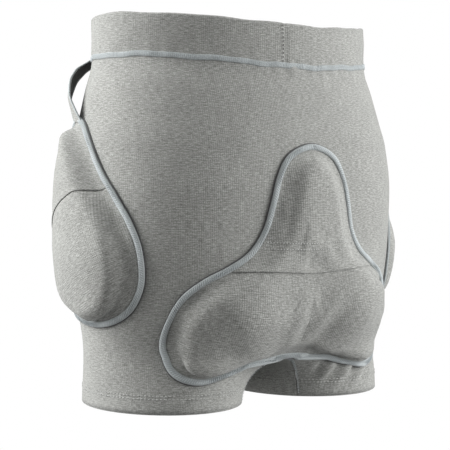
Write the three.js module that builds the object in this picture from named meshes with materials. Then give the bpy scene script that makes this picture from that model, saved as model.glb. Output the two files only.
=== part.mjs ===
// Padded impact shorts: stretch boxer shorts with a foam pad over each hip and one over the tail.
// Millimetres, +Z up, front towards -Y, wearer's left towards +X. The shorts stand on their two leg hems
// with the shape that they have when worn, and the origin is at the middle of the base of that shape.
import * as THREE from 'three';

// ---- Driving dimensions -------------------------------------------------------------------------
const RIM_Z = 360;              // top of the waistband at the side
const SEAM_Z = 322;             // waist seam, where the waistband meets the body panels
const WAIST_DIP = 11;           // how far the waistband runs lower at the centre back
const DIP_FROM_Z = 240;         // the dip fades out below this height
const CROTCH_Z = 42;            // where the two legs part, at the front and at the back
const CROTCH_RISE = 5;          // extra height of the gusset midway between them
const THIGH_Z = 110;            // the leg's section has become the torso's section at this height

const WAIST_HALF_WIDTH = 143;
const WAIST_HALF_DEPTH = 110.5;
const HIP_HALF_WIDTH = 166;
const HIP_BACK_DEPTH = 117;
const HIP_FRONT_DEPTH = 114;

const LEG_SPACING = 170;        // centre to centre of the two leg openings
const LEG_HALF_WIDTH = 72;
const LEG_HALF_DEPTH = 82;
const LEG_SEAM_ANGLE = 135 * Math.PI / 180; // inner leg seams, measured from the outer side of the leg

const SEAT = { x: 68, z: 88, width: 42, height: 42, depth: 13 }; // the swell of each buttock

const FABRIC = 1.2;             // thickness of the knit
const CLEARANCE = 0.3;          // gap between neighbouring sewn pieces
const HEM_HEIGHT = 18;
const PLY_GAP = 0.4;            // between plies that lie on each other
const HEM_EASE = 1.2;           // between the leg and its turned-up ply
const FOAM_GAP = 0.8;           // between an insert and the backing behind it
const ELASTIC = 1.5;
const SEAM_THREAD = { width: 5, thickness: 1 };
const POUCH_SHARE = 0.2;        // front panel's share of the half girth at the waist
const POUCH_RUN = 150;          // height over which the front panel narrows to the crotch

const HIP_SEAT = 4.2;           // a hip insert's base stands this far off the panel below it
const TAIL_SEAT = 2.9;          // the same for the tail insert, which has no backing
// The flat seam's thread stands proud of both pieces that it joins, more so where the hips flare more.
const THREAD_SEAT = 0.048 * (HIP_HALF_WIDTH - WAIST_HALF_WIDTH);
const BINDING = { width: 6, thickness: 3, gap: 0.8 };
const BACKING = 1.0;
const FOAM_EDGE = 3;            // thickness of a foam insert at its rounded edge
const HIP_FOAM = 15;
const TAIL_FOAM = 9;
const COVER_EASE = 0.7;         // room between an insert and its cover
const COVER_FALL = 2.5;         // the cover reaches its seam allowance this far outside the insert

const HIP_STRAP = { width: 32, bow: 15, steps: 8, topShift: -45 };

// Outline of the hip pad: [mm towards the back from the side, height], from the top, towards the back.
const HIP_OUTLINE = [
  [-38, 262], [-20, 257], [-2, 241], [20, 213], [37, 193], [53, 170], [62, 145], [61, 118], [48, 96],
  [26, 80], [0, 73], [-30, 71], [-58, 80], [-80, 101], [-91, 128], [-92, 152], [-88, 180], [-80, 208],
  [-70, 235], [-56, 256],
];
const HIP_MOUTH = [4, 15];      // outline points between which the pocket mouth runs
const HIP_MARGIN = { end: 9, side: 24 };
// Right half of the tail pad's outline: [mm from the centre back, height], from the top to the crotch.
const TAIL_HALF_OUTLINE = [
  [0, 240], [24, 231], [36, 212], [43, 186], [50, 161], [65, 140], [88, 126], [112, 116], [133, 101],
  [142, 81], [136, 60], [118, 44], [92, 33], [64, 30], [38, 40], [17, 48], [0, 52],
];
const TAIL_MOUTH_POINT = 6;
const TAIL_MARGIN = { end: 14, side: 10 };
const TAIL_REFINEMENT = 2;      // sides between two points of its outline

// ---- Body surface -------------------------------------------------------------------------------
// Torso sections by height: half width, depth to the back, depth to the front, middle, squareness.
const TORSO = [
  [0, HIP_HALF_WIDTH - 6, HIP_BACK_DEPTH - 35, HIP_FRONT_DEPTH - 38, 5, 2.3],
  [45, HIP_HALF_WIDTH - 5, HIP_BACK_DEPTH - 35, HIP_FRONT_DEPTH - 34, 5, 2.3],
  [90, HIP_HALF_WIDTH - 3, HIP_BACK_DEPTH - 17, HIP_FRONT_DEPTH - 18, 5, 2.35],
  [150, HIP_HALF_WIDTH, HIP_BACK_DEPTH - 4, HIP_FRONT_DEPTH - 2, 5, 2.4],
  [200, HIP_HALF_WIDTH - 1, HIP_BACK_DEPTH, HIP_FRONT_DEPTH, 5, 2.4],
  [240, HIP_HALF_WIDTH - 4, HIP_BACK_DEPTH, HIP_FRONT_DEPTH - 1, 4, 2.3],
  [267, HIP_HALF_WIDTH - 10.5, WAIST_HALF_DEPTH + 4.5, WAIST_HALF_DEPTH + 1.5, 4, 2.2],
  [292, WAIST_HALF_WIDTH + 7, WAIST_HALF_DEPTH + 2.5, WAIST_HALF_DEPTH + 0.5, 3, 2.1],
  [SEAM_Z, WAIST_HALF_WIDTH, WAIST_HALF_DEPTH, WAIST_HALF_DEPTH - 0.5, 1, 2],
  [RIM_Z, WAIST_HALF_WIDTH, WAIST_HALF_DEPTH, WAIST_HALF_DEPTH - 1, 0, 2],
].map(([z, width, back, front, y, n]) => ({ z, width, back, front, y, n }));

const mix = (a, b, w) => a + (b - a) * w;
const clamp = (v, low, high) => Math.min(high, Math.max(low, v));
const smooth = (low, high, v) => {
  const u = clamp((v - low) / (high - low), 0, 1);
  return u * u * (3 - 2 * u);
};

// One torso size at a height, on a curve through the sections that never overshoots them.
function torsoSize(key, z) {
  const height = clamp(z, TORSO[0].z, TORSO[TORSO.length - 1].z);
  const slope = (i) => (TORSO[i + 1][key] - TORSO[i][key]) / (TORSO[i + 1].z - TORSO[i].z);
  const tangent = (i) => {
    if (i === 0) return slope(0);
    if (i === TORSO.length - 1) return slope(i - 1);
    const product = slope(i - 1) * slope(i);
    return product <= 0 ? 0 : 2 * product / (slope(i - 1) + slope(i));
  };
  let i = 0;
  while (i < TORSO.length - 2 && height >= TORSO[i + 1].z) i++;
  const run = TORSO[i + 1].z - TORSO[i].z;
  const s = (height - TORSO[i].z) / run;
  return (2 * s ** 3 - 3 * s ** 2 + 1) * TORSO[i][key] + (s ** 3 - 2 * s ** 2 + s) * run * tangent(i)
    + (3 * s ** 2 - 2 * s ** 3) * TORSO[i + 1][key] + (s ** 3 - s ** 2) * run * tangent(i + 1);
}

// Torso contour of the left half: t runs from 0 at the centre front, over the side, to 1 at the centre back.
function torsoPoint(t, z) {
  const s = Math.sin(Math.PI * t);
  const c = Math.cos(Math.PI * t);
  const depth = torsoSize(c > 0 ? 'front' : 'back', z);
  const n = torsoSize('n', z);
  const reach = (Math.abs(s / torsoSize('width', z)) ** n + Math.abs(c / depth) ** n) ** (-1 / n);
  const x = reach * s;
  const fromSwell = ((x - SEAT.x) / SEAT.width) ** 2 + ((z - SEAT.z) / SEAT.height) ** 2;
  const swell = SEAT.depth * Math.exp(-fromSwell);
  return [x, torsoSize('y', z) - reach * c + swell * clamp(-2 * c, 0, 1)];
}

function legPoint(t) {
  const angle = (2 * t - 1) * LEG_SEAM_ANGLE;
  return [LEG_SPACING / 2 + LEG_HALF_WIDTH * Math.cos(angle), TORSO[0].y + LEG_HALF_DEPTH * Math.sin(angle)];
}

const dipAt = (t, z) => WAIST_DIP * smooth(0.5, 1, t) * smooth(DIP_FROM_Z, SEAM_Z, z);

// Point of the outer surface of the shorts: side is 1 on the wearer's left and -1 on the right.
function bodyPoint(t, z, side) {
  const [torsoX, torsoY] = torsoPoint(t, z);
  const [legX, legY] = legPoint(t);
  const sideways = Math.sin(Math.PI * t) ** 2;
  const rise = clamp(z / mix(CROTCH_Z, THIGH_Z, sideways), 0, 1);
  const w = 1 - Math.max(0, 1 - rise ** 2) ** (0.5 + 1.5 * sideways);
  return new THREE.Vector3(side * mix(legX, torsoX, w), mix(legY, torsoY, w), z - dipAt(t, z));
}

// The same surface continued past the centre lines, where the other half takes over.
function wrappedPoint(t, z, side) {
  if (t > 1) return bodyPoint(2 - t, z, -side);
  return t < 0 ? bodyPoint(-t, z, -side) : bodyPoint(t, z, side);
}

function bodyNormal(t, z, side) {
  const step = 0.004;
  const joined = z >= CROTCH_Z;
  const low = joined ? t - step : Math.max(0, t - step);
  const high = joined ? t + step : Math.min(1, t + step);
  const along = wrappedPoint(high, z, side).sub(wrappedPoint(low, z, side));
  const up = bodyPoint(t, z + 1, side).sub(bodyPoint(t, z, side));
  return along.cross(up).multiplyScalar(side).normalize();
}

// Point lifted off the body surface; a negative lift goes inwards.
function lifted(t, z, side, lift) {
  return bodyPoint(t, z, side).addScaledVector(bodyNormal(t, z, side), lift);
}

// Distances along the contour at a height, so that a pad can be laid on in millimetres of cloth.
const CONTOUR_STEPS = 80;
const contours = new Map();
function contour(z) {
  const key = z.toFixed(2);
  if (!contours.has(key)) {
    const lengths = [0];
    let last = bodyPoint(1, z, 1);
    for (let i = 1; i <= CONTOUR_STEPS; i++) {
      const next = bodyPoint(1 - i / CONTOUR_STEPS, z, 1);
      lengths.push(lengths[i - 1] + next.distanceTo(last));
      last = next;
    }
    contours.set(key, lengths);
  }
  return contours.get(key);
}

function shareFromBack(distance, z) {
  const lengths = contour(z);
  let i = 0;
  while (i < CONTOUR_STEPS - 1 && lengths[i + 1] < distance) i++;
  return 1 - (i + (distance - lengths[i]) / (lengths[i + 1] - lengths[i])) / CONTOUR_STEPS;
}

// Two ways of laying a pad out: from the centre back, and from the side of the hip.
const tailChart = ([across, z], lift) => {
  const side = across >= 0 ? 1 : -1;
  return lifted(shareFromBack(Math.abs(across), z), z, side, lift);
};
const hipChart = (side) => ([rearward, z], lift) => {
  const sideDistance = contour(z)[CONTOUR_STEPS / 2];
  return lifted(shareFromBack(sideDistance - rearward, z), z, side, lift);
};

// ---- Solids from surfaces -----------------------------------------------------------------------
function signedVolume(triangles) {
  return triangles.reduce((sum, [a, b, c]) => sum + a.dot(b.clone().cross(c)) / 6, 0);
}

function solid(name, triangles, finish) {
  const outward = signedVolume(triangles) > 0;
  const turned = triangles.map(([a, b, c]) => (outward ? [a, b, c] : [a, c, b]));
  const positions = turned.flat().flatMap((p) => p.toArray());
  const geometry = new THREE.BufferGeometry();
  geometry.setAttribute('position', new THREE.Float32BufferAttribute(positions, 3));
  geometry.computeVertexNormals();
  const mesh = new THREE.Mesh(geometry, new THREE.MeshStandardMaterial(finish));
  mesh.name = name;
  return mesh;
}

// A sheet is a set of corners, each with an outer and an inner point, and faces between them.
class Sheet {
  constructor() {
    this.corners = [];
    this.faces = [];
    this.byPlace = new Map();
  }

  corner(outer, inner) {
    const key = outer.toArray().map((v) => v.toFixed(3)).join();
    if (!this.byPlace.has(key)) {
      this.byPlace.set(key, this.corners.length);
      this.corners.push({ outer, inner });
    }
    return this.byPlace.get(key);
  }

  face(a, b, c) {
    if (a !== b && b !== c && c !== a) this.faces.push([a, b, c]);
  }

  // Rows of corners; closed joins the last column to the first.
  grid(rows, closed = false) {
    for (let i = 0; i + 1 < rows.length; i++) {
      const columns = rows[i].length;
      for (let j = 0; j < (closed ? columns : columns - 1); j++) {
        const k = (j + 1) % columns;
        this.face(rows[i][j], rows[i][k], rows[i + 1][k]);
        this.face(rows[i][j], rows[i + 1][k], rows[i + 1][j]);
      }
    }
  }

  // Both skins, and a wall along every edge that only one face has.
  triangles() {
    const { corners, faces } = this;
    const edges = new Map();
    for (const [a, b, c] of faces) {
      for (const [from, to] of [[a, b], [b, c], [c, a]]) edges.set(`${from},${to}`, [from, to]);
    }
    const result = [];
    for (const [a, b, c] of faces) {
      result.push([corners[a].outer, corners[b].outer, corners[c].outer]);
      result.push([corners[a].inner, corners[c].inner, corners[b].inner]);
    }
    for (const [from, to] of edges.values()) {
      if (edges.has(`${to},${from}`)) continue;
      result.push([corners[to].outer, corners[from].outer, corners[from].inner]);
      result.push([corners[to].outer, corners[from].inner, corners[to].inner]);
    }
    return result;
  }
}

// Closed section swept round a closed loop: sections[i][j] is corner j of the section at station i.
function sweptLoop(sections) {
  const result = [];
  sections.forEach((section, i) => {
    const next = sections[(i + 1) % sections.length];
    section.forEach((corner, j) => {
      const k = (j + 1) % section.length;
      result.push([corner, next[j], next[k]], [corner, next[k], section[k]]);
    });
  });
  return result;
}

// ---- Finishes -----------------------------------------------------------------------------------
const MELANGE = { color: 0xa9aaa6, roughness: 0.95, metalness: 0 };
const THREAD = { color: 0xb9c4c8, roughness: 0.8, metalness: 0 };
const MESH_BLACK = { color: 0x2d2d2a, roughness: 0.9, metalness: 0 };
const ELASTIC_WHITE = { color: 0xdfe0dc, roughness: 0.8, metalness: 0 };
const FOAM_FINISH = { color: 0xd8d6cc, roughness: 0.95, metalness: 0 };

// ---- Body panels --------------------------------------------------------------------------------
const PANEL_COLUMNS = 22;
const PANEL_BASE_Z = FABRIC + CLEARANCE;
const PANEL_TOP_Z = SEAM_Z - CLEARANCE;
const LEG_ROWS = 4;
const TORSO_ROWS = 11;
const ROW_CROWDING = 1.4;       // sets the rows closer towards the crotch, where the panel curves most
const girthGap = CLEARANCE / contour(HIP_OUTLINE[0][1])[CONTOUR_STEPS];

const legRowZ = (i) => mix(PANEL_BASE_Z, CROTCH_Z, Math.sin(Math.PI / 2 * i / LEG_ROWS));
const torsoRowZ = (i) => mix(CROTCH_Z, PANEL_TOP_Z, (i / TORSO_ROWS) ** ROW_CROWDING);
const pouchShare = (z) => POUCH_SHARE * smooth(CROTCH_Z, CROTCH_Z + POUCH_RUN, z);

function addBodyCorner(sheet, t, z, side) {
  return sheet.corner(bodyPoint(t, z, side), lifted(t, z, side, -FABRIC));
}

// Back, sides and fronts of the legs in one panel.
function backPanel() {
  const sheet = new Sheet();
  for (const side of [1, -1]) {
    const row = (z, first, last) => Array.from({ length: PANEL_COLUMNS + 1 }, (_, j) => (
      addBodyCorner(sheet, mix(first, last, j / PANEL_COLUMNS), z, side)));
    const rows = [];
    for (let i = 0; i < LEG_ROWS; i++) rows.push(row(legRowZ(i), girthGap, 1 - girthGap));
    for (let i = 0; i <= TORSO_ROWS; i++) {
      const z = torsoRowZ(i);
      rows.push(row(z, pouchShare(z) + girthGap, 1));
    }
    sheet.grid(side > 0 ? rows : rows.map((r) => [...r].reverse()));
  }
  return solid('back_panel', sheet.triangles(), MELANGE);
}

function frontPanel() {
  const sheet = new Sheet();
  const columns = 10;
  const rows = [];
  for (let i = 1; i <= TORSO_ROWS; i++) {
    const z = torsoRowZ(i);
    const half = pouchShare(z) - girthGap;
    rows.push(Array.from({ length: columns + 1 }, (_, j) => {
      const t = mix(-half, half, j / columns);
      return addBodyCorner(sheet, Math.abs(t), z, t < 0 ? -1 : 1);
    }));
  }
  sheet.grid(rows);
  return solid('front_panel', sheet.triangles(), MELANGE);
}

// Inner thighs and crotch in one piece that runs from one leg hem over the crotch to the other.
const GUSSET_STEPS = 10;
const GUSSET_END = (FABRIC + 2 * CLEARANCE) / (2 * LEG_HALF_DEPTH);
const gussetTop = (s) => CROTCH_Z + CROTCH_RISE * Math.sin(Math.PI * s);

function gussetPoint(s, v, side, lift) {
  const angle = LEG_SEAM_ANGLE + s * 2 * (Math.PI - LEG_SEAM_ANGLE);
  const up = Math.sin(Math.PI / 2 * v);
  const out = Math.cos(Math.PI / 2 * v);
  const z = PANEL_BASE_Z + (gussetTop(s) - PANEL_BASE_Z) * up;
  const level = clamp(z / CROTCH_Z, 0, 1);
  const legShare = Math.sqrt(Math.max(0, 1 - level ** 2));
  const crotchY = mix(torsoPoint(1, z)[1], torsoPoint(0, z)[1], s);
  const legX = LEG_SPACING / 2 + LEG_HALF_WIDTH * Math.cos(angle);
  const legY = TORSO[0].y + LEG_HALF_DEPTH * Math.sin(angle);
  const share = mix(legShare, out, Math.sin(Math.PI * s));
  return new THREE.Vector3(side * (legX * share + lift * out), mix(crotchY, legY, share), z + lift * up);
}

function crotchGusset() {
  const sheet = new Sheet();
  const sideSteps = LEG_ROWS + 1;
  const rows = [];
  for (let i = 0; i <= GUSSET_STEPS; i++) {
    const s = mix(GUSSET_END, 1 - GUSSET_END, i / GUSSET_STEPS);
    rows.push(Array.from({ length: 2 * sideSteps + 1 }, (_, j) => {
      const v = 1 - Math.abs(j / sideSteps - 1);
      const side = j < sideSteps ? 1 : -1;
      return sheet.corner(gussetPoint(s, v, side, 0), gussetPoint(s, v, side, FABRIC));
    }));
  }
  sheet.grid(rows);
  return solid('crotch_gusset', sheet.triangles(), MELANGE);
}

// ---- Rings: waistband, elastic, seam thread and leg hems ----------------------------------------
const RING_STEPS = 22;

// Sweeps corners given as [lift off the surface, height] round the whole body.
function waistRing(corners) {
  const stations = [];
  for (let i = 0; i < RING_STEPS; i++) stations.push([i / RING_STEPS, 1]);
  for (let i = 0; i < RING_STEPS; i++) stations.push([1 - i / RING_STEPS, -1]);
  return sweptLoop(stations.map(([t, side]) => corners.map(([lift, z]) => {
    const point = lifted(t, z, side, lift);
    point.z = z - dipAt(t, z);
    return point;
  })));
}

const CASING_INNER = FABRIC + ELASTIC + 2 * PLY_GAP;

function waistbandCasing() {
  const foldZ = RIM_Z - FABRIC;
  return solid('waistband_casing', waistRing([
    [0, SEAM_Z], [0, RIM_Z], [-CASING_INNER - FABRIC, RIM_Z], [-CASING_INNER - FABRIC, SEAM_Z],
    [-CASING_INNER, SEAM_Z], [-CASING_INNER, foldZ], [-FABRIC, foldZ], [-FABRIC, SEAM_Z],
  ]), MELANGE);
}

function waistElastic() {
  const outer = FABRIC + PLY_GAP;
  const top = RIM_Z - FABRIC - PLY_GAP;
  return solid('waist_elastic', waistRing([
    [-outer, SEAM_Z], [-outer, top], [-outer - ELASTIC, top], [-outer - ELASTIC, SEAM_Z],
  ]), ELASTIC_WHITE);
}

function waistSeamThread() {
  const low = SEAM_Z - SEAM_THREAD.width / 2;
  const high = SEAM_Z + SEAM_THREAD.width / 2;
  const outer = THREAD_SEAT + SEAM_THREAD.thickness;
  return solid('waist_seam_thread', waistRing([
    [THREAD_SEAT, low], [outer, low], [outer, high], [THREAD_SEAT, high],
  ]), THREAD);
}

// Stations round a leg opening: over the outside of the leg, then back over its inner side.
function legStation(i, side, lift, z) {
  let point;
  if (i <= PANEL_COLUMNS) {
    point = lifted(mix(girthGap, 1 - girthGap, i / PANEL_COLUMNS), z, side, lift);
  } else {
    const s = mix(GUSSET_END, 1 - GUSSET_END, (i - PANEL_COLUMNS - 1) / GUSSET_STEPS);
    const run = gussetTop(s) - PANEL_BASE_Z;
    const v = Math.asin(clamp((z - PANEL_BASE_Z) / run, 0, 1)) / (Math.PI / 2);
    point = gussetPoint(s, v, side, -lift);
  }
  point.z = z;
  return point;
}

// The turned-up hem of a leg: the ply inside the leg and the fold that the shorts stand on.
function legHem(name, side) {
  const outer = FABRIC + HEM_EASE;
  const inner = outer + FABRIC;
  const corners = [[0, 0], [0, FABRIC], [-outer, FABRIC], [-outer, HEM_HEIGHT / 2], [-outer, HEM_HEIGHT],
    [-inner, HEM_HEIGHT], [-inner, HEM_HEIGHT / 2], [-inner, 0]];
  const sections = Array.from({ length: PANEL_COLUMNS + GUSSET_STEPS + 2 }, (_, i) => (
    corners.map(([lift, z]) => legStation(i, side, lift, z))));
  return solid(name, sweptLoop(sections), MELANGE);
}

// ---- Pads ---------------------------------------------------------------------------------------
// The same closed outline as a smooth curve, with this many sides between two of its points.
function refined(points, sides) {
  const curve = new THREE.CatmullRomCurve3(points.map(([x, y]) => new THREE.Vector3(x, y, 0)), true);
  return Array.from({ length: points.length * sides }, (_, i) => {
    const { x, y } = curve.getPoint(i / (points.length * sides));
    return [x, y];
  });
}

function outlineNormals(outline) {
  return outline.map((_, i) => {
    const before = outline[(i + outline.length - 1) % outline.length];
    const after = outline[(i + 1) % outline.length];
    const along = new THREE.Vector2(after[0] - before[0], after[1] - before[1]).normalize();
    return [along.y, -along.x];
  });
}

// Everything that a pad's pieces share: its outline, its insert's outline and the middle of its mouth.
function padPlan({ outline, mouth, margin, chart, foamHeight, seat }) {
  const turn = THREE.ShapeUtils.area(outline.map(([x, y]) => new THREE.Vector2(x, y))) > 0 ? 1 : -1;
  const normals = outlineNormals(outline).map(([x, y]) => [turn * x, turn * y]);
  const foam = outline.map(([x, y], i) => {
    const inset = mix(margin.end, margin.side, Math.abs(normals[i][0]));
    return [x - inset * normals[i][0], y - inset * normals[i][1]];
  });
  const [from, to] = mouth.map((i) => outline[i]);
  const middle = [(from[0] + to[0]) / 2, (from[1] + to[1]) / 2];
  return { outline, normals, foam, middle, mouth, chart, foamHeight, seat };
}

const FOAM_RINGS = [0, 0.3, 0.58, 0.82, 1];
const foamRise = (plan, ring) => FOAM_EDGE + (plan.foamHeight - FOAM_EDGE) * Math.sqrt(1 - ring ** 4);
const between = (a, b, w) => [mix(a[0], b[0], w), mix(a[1], b[1], w)];

function foamInsert(name, plan) {
  const sheet = new Sheet();
  const rows = FOAM_RINGS.map((ring) => plan.foam.map((edge) => {
    const place = between(plan.middle, edge, ring);
    return sheet.corner(plan.chart(place, plan.seat + foamRise(plan, ring)), plan.chart(place, plan.seat));
  }));
  sheet.grid(rows, true);
  return solid(name, sheet.triangles(), FOAM_FINISH);
}

// Rings of a cover: over the insert, down beside it, and out to the bound edge.
function coverRings(plan) {
  const low = plan.seat + PLY_GAP;
  const overFoam = FOAM_RINGS.map((ring) => ({
    place: (i) => between(plan.middle, plan.foam[i], ring),
    lift: plan.seat + foamRise(plan, ring) + COVER_EASE,
  }));
  const reach = (i) => Math.hypot(plan.outline[i][0] - plan.foam[i][0], plan.outline[i][1] - plan.foam[i][1]);
  const beside = { place: (i) => between(plan.foam[i], plan.outline[i], COVER_FALL / reach(i)), lift: low };
  const edge = { place: (i) => plan.outline[i], lift: low };
  return [...overFoam, beside, edge];
}

// One of the two covers of a pad; they meet along the pocket mouth.
function padCover(name, plan, first, last) {
  const count = plan.outline.length;
  const steps = (last - first + count) % count;
  const middleIndex = (first + Math.round(steps / 2)) % count;
  const inward = [plan.foam[middleIndex][0] - plan.middle[0], plan.foam[middleIndex][1] - plan.middle[1]];
  const length = Math.hypot(...inward);
  const shift = inward.map((v) => v / length * CLEARANCE);
  const sheet = new Sheet();
  const rows = coverRings(plan).map(({ place, lift }) => Array.from({ length: steps + 1 }, (_, k) => {
    const [x, y] = place((first + k) % count);
    const atEnd = k === 0 || k === steps;
    const atMiddle = x === plan.middle[0] && y === plan.middle[1];
    const nearMouth = atEnd || atMiddle ? 1 : 0;
    const at = [x + shift[0] * nearMouth, y + shift[1] * nearMouth];
    return sheet.corner(plan.chart(at, lift + FABRIC), plan.chart(at, lift));
  }));
  sheet.grid(rows);
  return solid(name, sheet.triangles(), MELANGE);
}

function padBinding(name, plan, low) {
  const lifts = [low, low + BINDING.thickness];
  const reaches = [BINDING.gap, BINDING.gap + BINDING.width];
  const corners = [[0, 0], [1, 0], [1, 1], [0, 1]];
  const sections = plan.outline.map(([x, y], i) => corners.map(([reach, lift]) => {
    const [nx, ny] = plan.normals[i];
    return plan.chart([x + reaches[reach] * nx, y + reaches[reach] * ny], lifts[lift]);
  }));
  return solid(name, sweptLoop(sections), THREAD);
}

const backingBase = (plan) => plan.seat - FOAM_GAP - BACKING;

function hipBacking(name, plan) {
  const sheet = new Sheet();
  const low = backingBase(plan);
  const rows = [0, 0.35, 0.7, 1].map((ring) => plan.outline.map((edge) => {
    const place = between(plan.middle, edge, ring);
    return sheet.corner(plan.chart(place, low + BACKING), plan.chart(place, low));
  }));
  sheet.grid(rows, true);
  return solid(name, sheet.triangles(), MESH_BLACK);
}

// Slack strap between the top of a hip pad and the waist seam.
function hipStrap(name, plan) {
  const [baseX, baseZ] = plan.outline[0];
  const low = backingBase(plan);
  const start = baseZ + BINDING.width + 2 * BINDING.gap;
  const end = SEAM_Z - SEAM_THREAD.width / 2 - CLEARANCE;
  const sheet = new Sheet();
  const rows = Array.from({ length: HIP_STRAP.steps + 1 }, (_, i) => {
    const u = i / HIP_STRAP.steps;
    const bow = low + HIP_STRAP.bow * Math.sin(Math.PI * u) ** 2;
    return [-0.5, 0, 0.5].map((across) => {
      const place = [baseX + HIP_STRAP.topShift * u + across * HIP_STRAP.width, mix(start, end, u)];
      return sheet.corner(plan.chart(place, bow + BACKING), plan.chart(place, bow));
    });
  });
  sheet.grid(rows);
  return solid(name, sheet.triangles(), MESH_BLACK);
}

function hipPad(label, side) {
  const plan = padPlan({
    outline: HIP_OUTLINE,
    mouth: HIP_MOUTH,
    margin: HIP_MARGIN,
    chart: hipChart(side),
    foamHeight: HIP_FOAM,
    seat: HIP_SEAT,
  });
  const [rear, front] = plan.mouth;
  return [
    hipBacking(`hip_backing_${label}`, plan),
    hipStrap(`hip_strap_${label}`, plan),
    foamInsert(`hip_foam_${label}`, plan),
    padCover(`hip_cover_upper_${label}`, plan, front, rear),
    padCover(`hip_cover_lower_${label}`, plan, rear, front),
    padBinding(`hip_binding_${label}`, plan, backingBase(plan)),
  ];
}

function tailPad() {
  const inner = TAIL_HALF_OUTLINE.slice(1, -1);
  const points = [...TAIL_HALF_OUTLINE, ...inner.reverse().map(([x, z]) => [-x, z])];
  const mouth = [TAIL_MOUTH_POINT, points.length - TAIL_MOUTH_POINT].map((i) => i * TAIL_REFINEMENT);
  const plan = padPlan({
    outline: refined(points, TAIL_REFINEMENT),
    mouth,
    margin: TAIL_MARGIN,
    chart: tailChart,
    foamHeight: TAIL_FOAM,
    seat: TAIL_SEAT,
  });
  return [
    foamInsert('tail_foam', plan),
    padCover('tail_cover_upper', plan, mouth[1], mouth[0]),
    padCover('tail_cover_lower', plan, mouth[0], mouth[1]),
    padBinding('tail_binding', plan, plan.seat - PLY_GAP),
  ];
}

// ---- Assembly -----------------------------------------------------------------------------------
const shorts = new THREE.Group();
shorts.add(
  backPanel(), frontPanel(), crotchGusset(),
  waistbandCasing(), waistElastic(), waistSeamThread(),
  legHem('leg_hem_left', 1), legHem('leg_hem_right', -1),
  ...hipPad('left', 1), ...hipPad('right', -1), ...tailPad(),
);

// The origin stands under the middle of the whole shape.
const middle = new THREE.Box3().setFromObject(shorts).getCenter(new THREE.Vector3());
shorts.position.set(-middle.x, -middle.y, 0);
shorts.updateMatrixWorld(true);

export default shorts;
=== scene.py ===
"""Padded impact shorts: the visual model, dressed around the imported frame.

Every knit panel, pad, binding and seam is laid on one description of the worn shape, in millimetres of
cloth along the girth and millimetres of height, and is written out in metres.
"""
import logging
import math
from dataclasses import dataclass, field
from enum import Enum
from typing import Callable, Optional, Sequence

import bpy
import numpy as np
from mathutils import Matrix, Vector
from mathutils.bvhtree import BVHTree


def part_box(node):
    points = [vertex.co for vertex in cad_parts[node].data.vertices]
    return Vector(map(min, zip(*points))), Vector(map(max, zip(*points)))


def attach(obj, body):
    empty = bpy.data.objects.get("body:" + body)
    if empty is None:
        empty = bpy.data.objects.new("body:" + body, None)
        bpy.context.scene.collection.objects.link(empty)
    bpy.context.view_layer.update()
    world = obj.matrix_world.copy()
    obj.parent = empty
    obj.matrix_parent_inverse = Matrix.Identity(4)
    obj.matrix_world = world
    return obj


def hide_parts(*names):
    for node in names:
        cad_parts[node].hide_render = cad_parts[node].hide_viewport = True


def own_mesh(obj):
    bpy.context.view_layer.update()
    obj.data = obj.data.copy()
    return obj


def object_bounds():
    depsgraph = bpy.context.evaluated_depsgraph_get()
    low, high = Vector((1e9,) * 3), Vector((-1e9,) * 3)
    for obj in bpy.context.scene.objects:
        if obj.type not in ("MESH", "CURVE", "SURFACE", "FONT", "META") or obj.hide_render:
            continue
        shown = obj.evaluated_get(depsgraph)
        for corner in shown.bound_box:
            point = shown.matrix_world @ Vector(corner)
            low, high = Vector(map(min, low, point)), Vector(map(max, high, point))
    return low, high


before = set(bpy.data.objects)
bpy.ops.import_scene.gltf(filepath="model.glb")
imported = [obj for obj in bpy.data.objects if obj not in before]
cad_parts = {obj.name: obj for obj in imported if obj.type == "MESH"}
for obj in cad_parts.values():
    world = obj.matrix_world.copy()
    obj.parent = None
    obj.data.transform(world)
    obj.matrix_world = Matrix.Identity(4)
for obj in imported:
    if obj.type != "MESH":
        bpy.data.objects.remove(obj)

CAD_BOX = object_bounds()
LOG = logging.getLogger("padded_shorts")
MM = 0.001
ROOT_BODY = "shorts"

Array = np.ndarray
Chart = Callable[[Array, Array, Array], Array]


class Side(Enum):
    """The wearer's left or right, with the sign that it has along X."""

    LEFT = 1
    RIGHT = -1

    @property
    def label(self) -> str:
        """Lower-case word used in node names."""
        return self.name.lower()


class Held(Enum):
    """How a sheet of cloth is held."""

    STRETCHED = "stretched"
    FOLDED = "folded"


def blend(a: Array, b: Array, w: Array) -> Array:
    """Linear blend from a to b."""
    return a + (b - a) * w


def smooth(low: float, high: float, value: Array) -> Array:
    """Smooth step from 0 at low to 1 at high."""
    u = np.clip((np.asarray(value, float) - low) / (high - low), 0, 1)
    return u * u * (3 - 2 * u)


def bell(value: Array, middle: float, width: float) -> Array:
    """Bell curve of height 1."""
    return np.exp(-(((np.asarray(value, float) - middle) / width) ** 2))


def from_frame(node: str, axis: int, high: bool = True) -> float:
    """One face of a CAD node's box, in millimetres.

    Args:
        node: name of the CAD node.
        axis: 0, 1 or 2.
        high: the upper face, or else the lower one.

    Returns:
        The face's place along the axis.
    """
    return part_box(node)[1 if high else 0][axis] / MM


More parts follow.
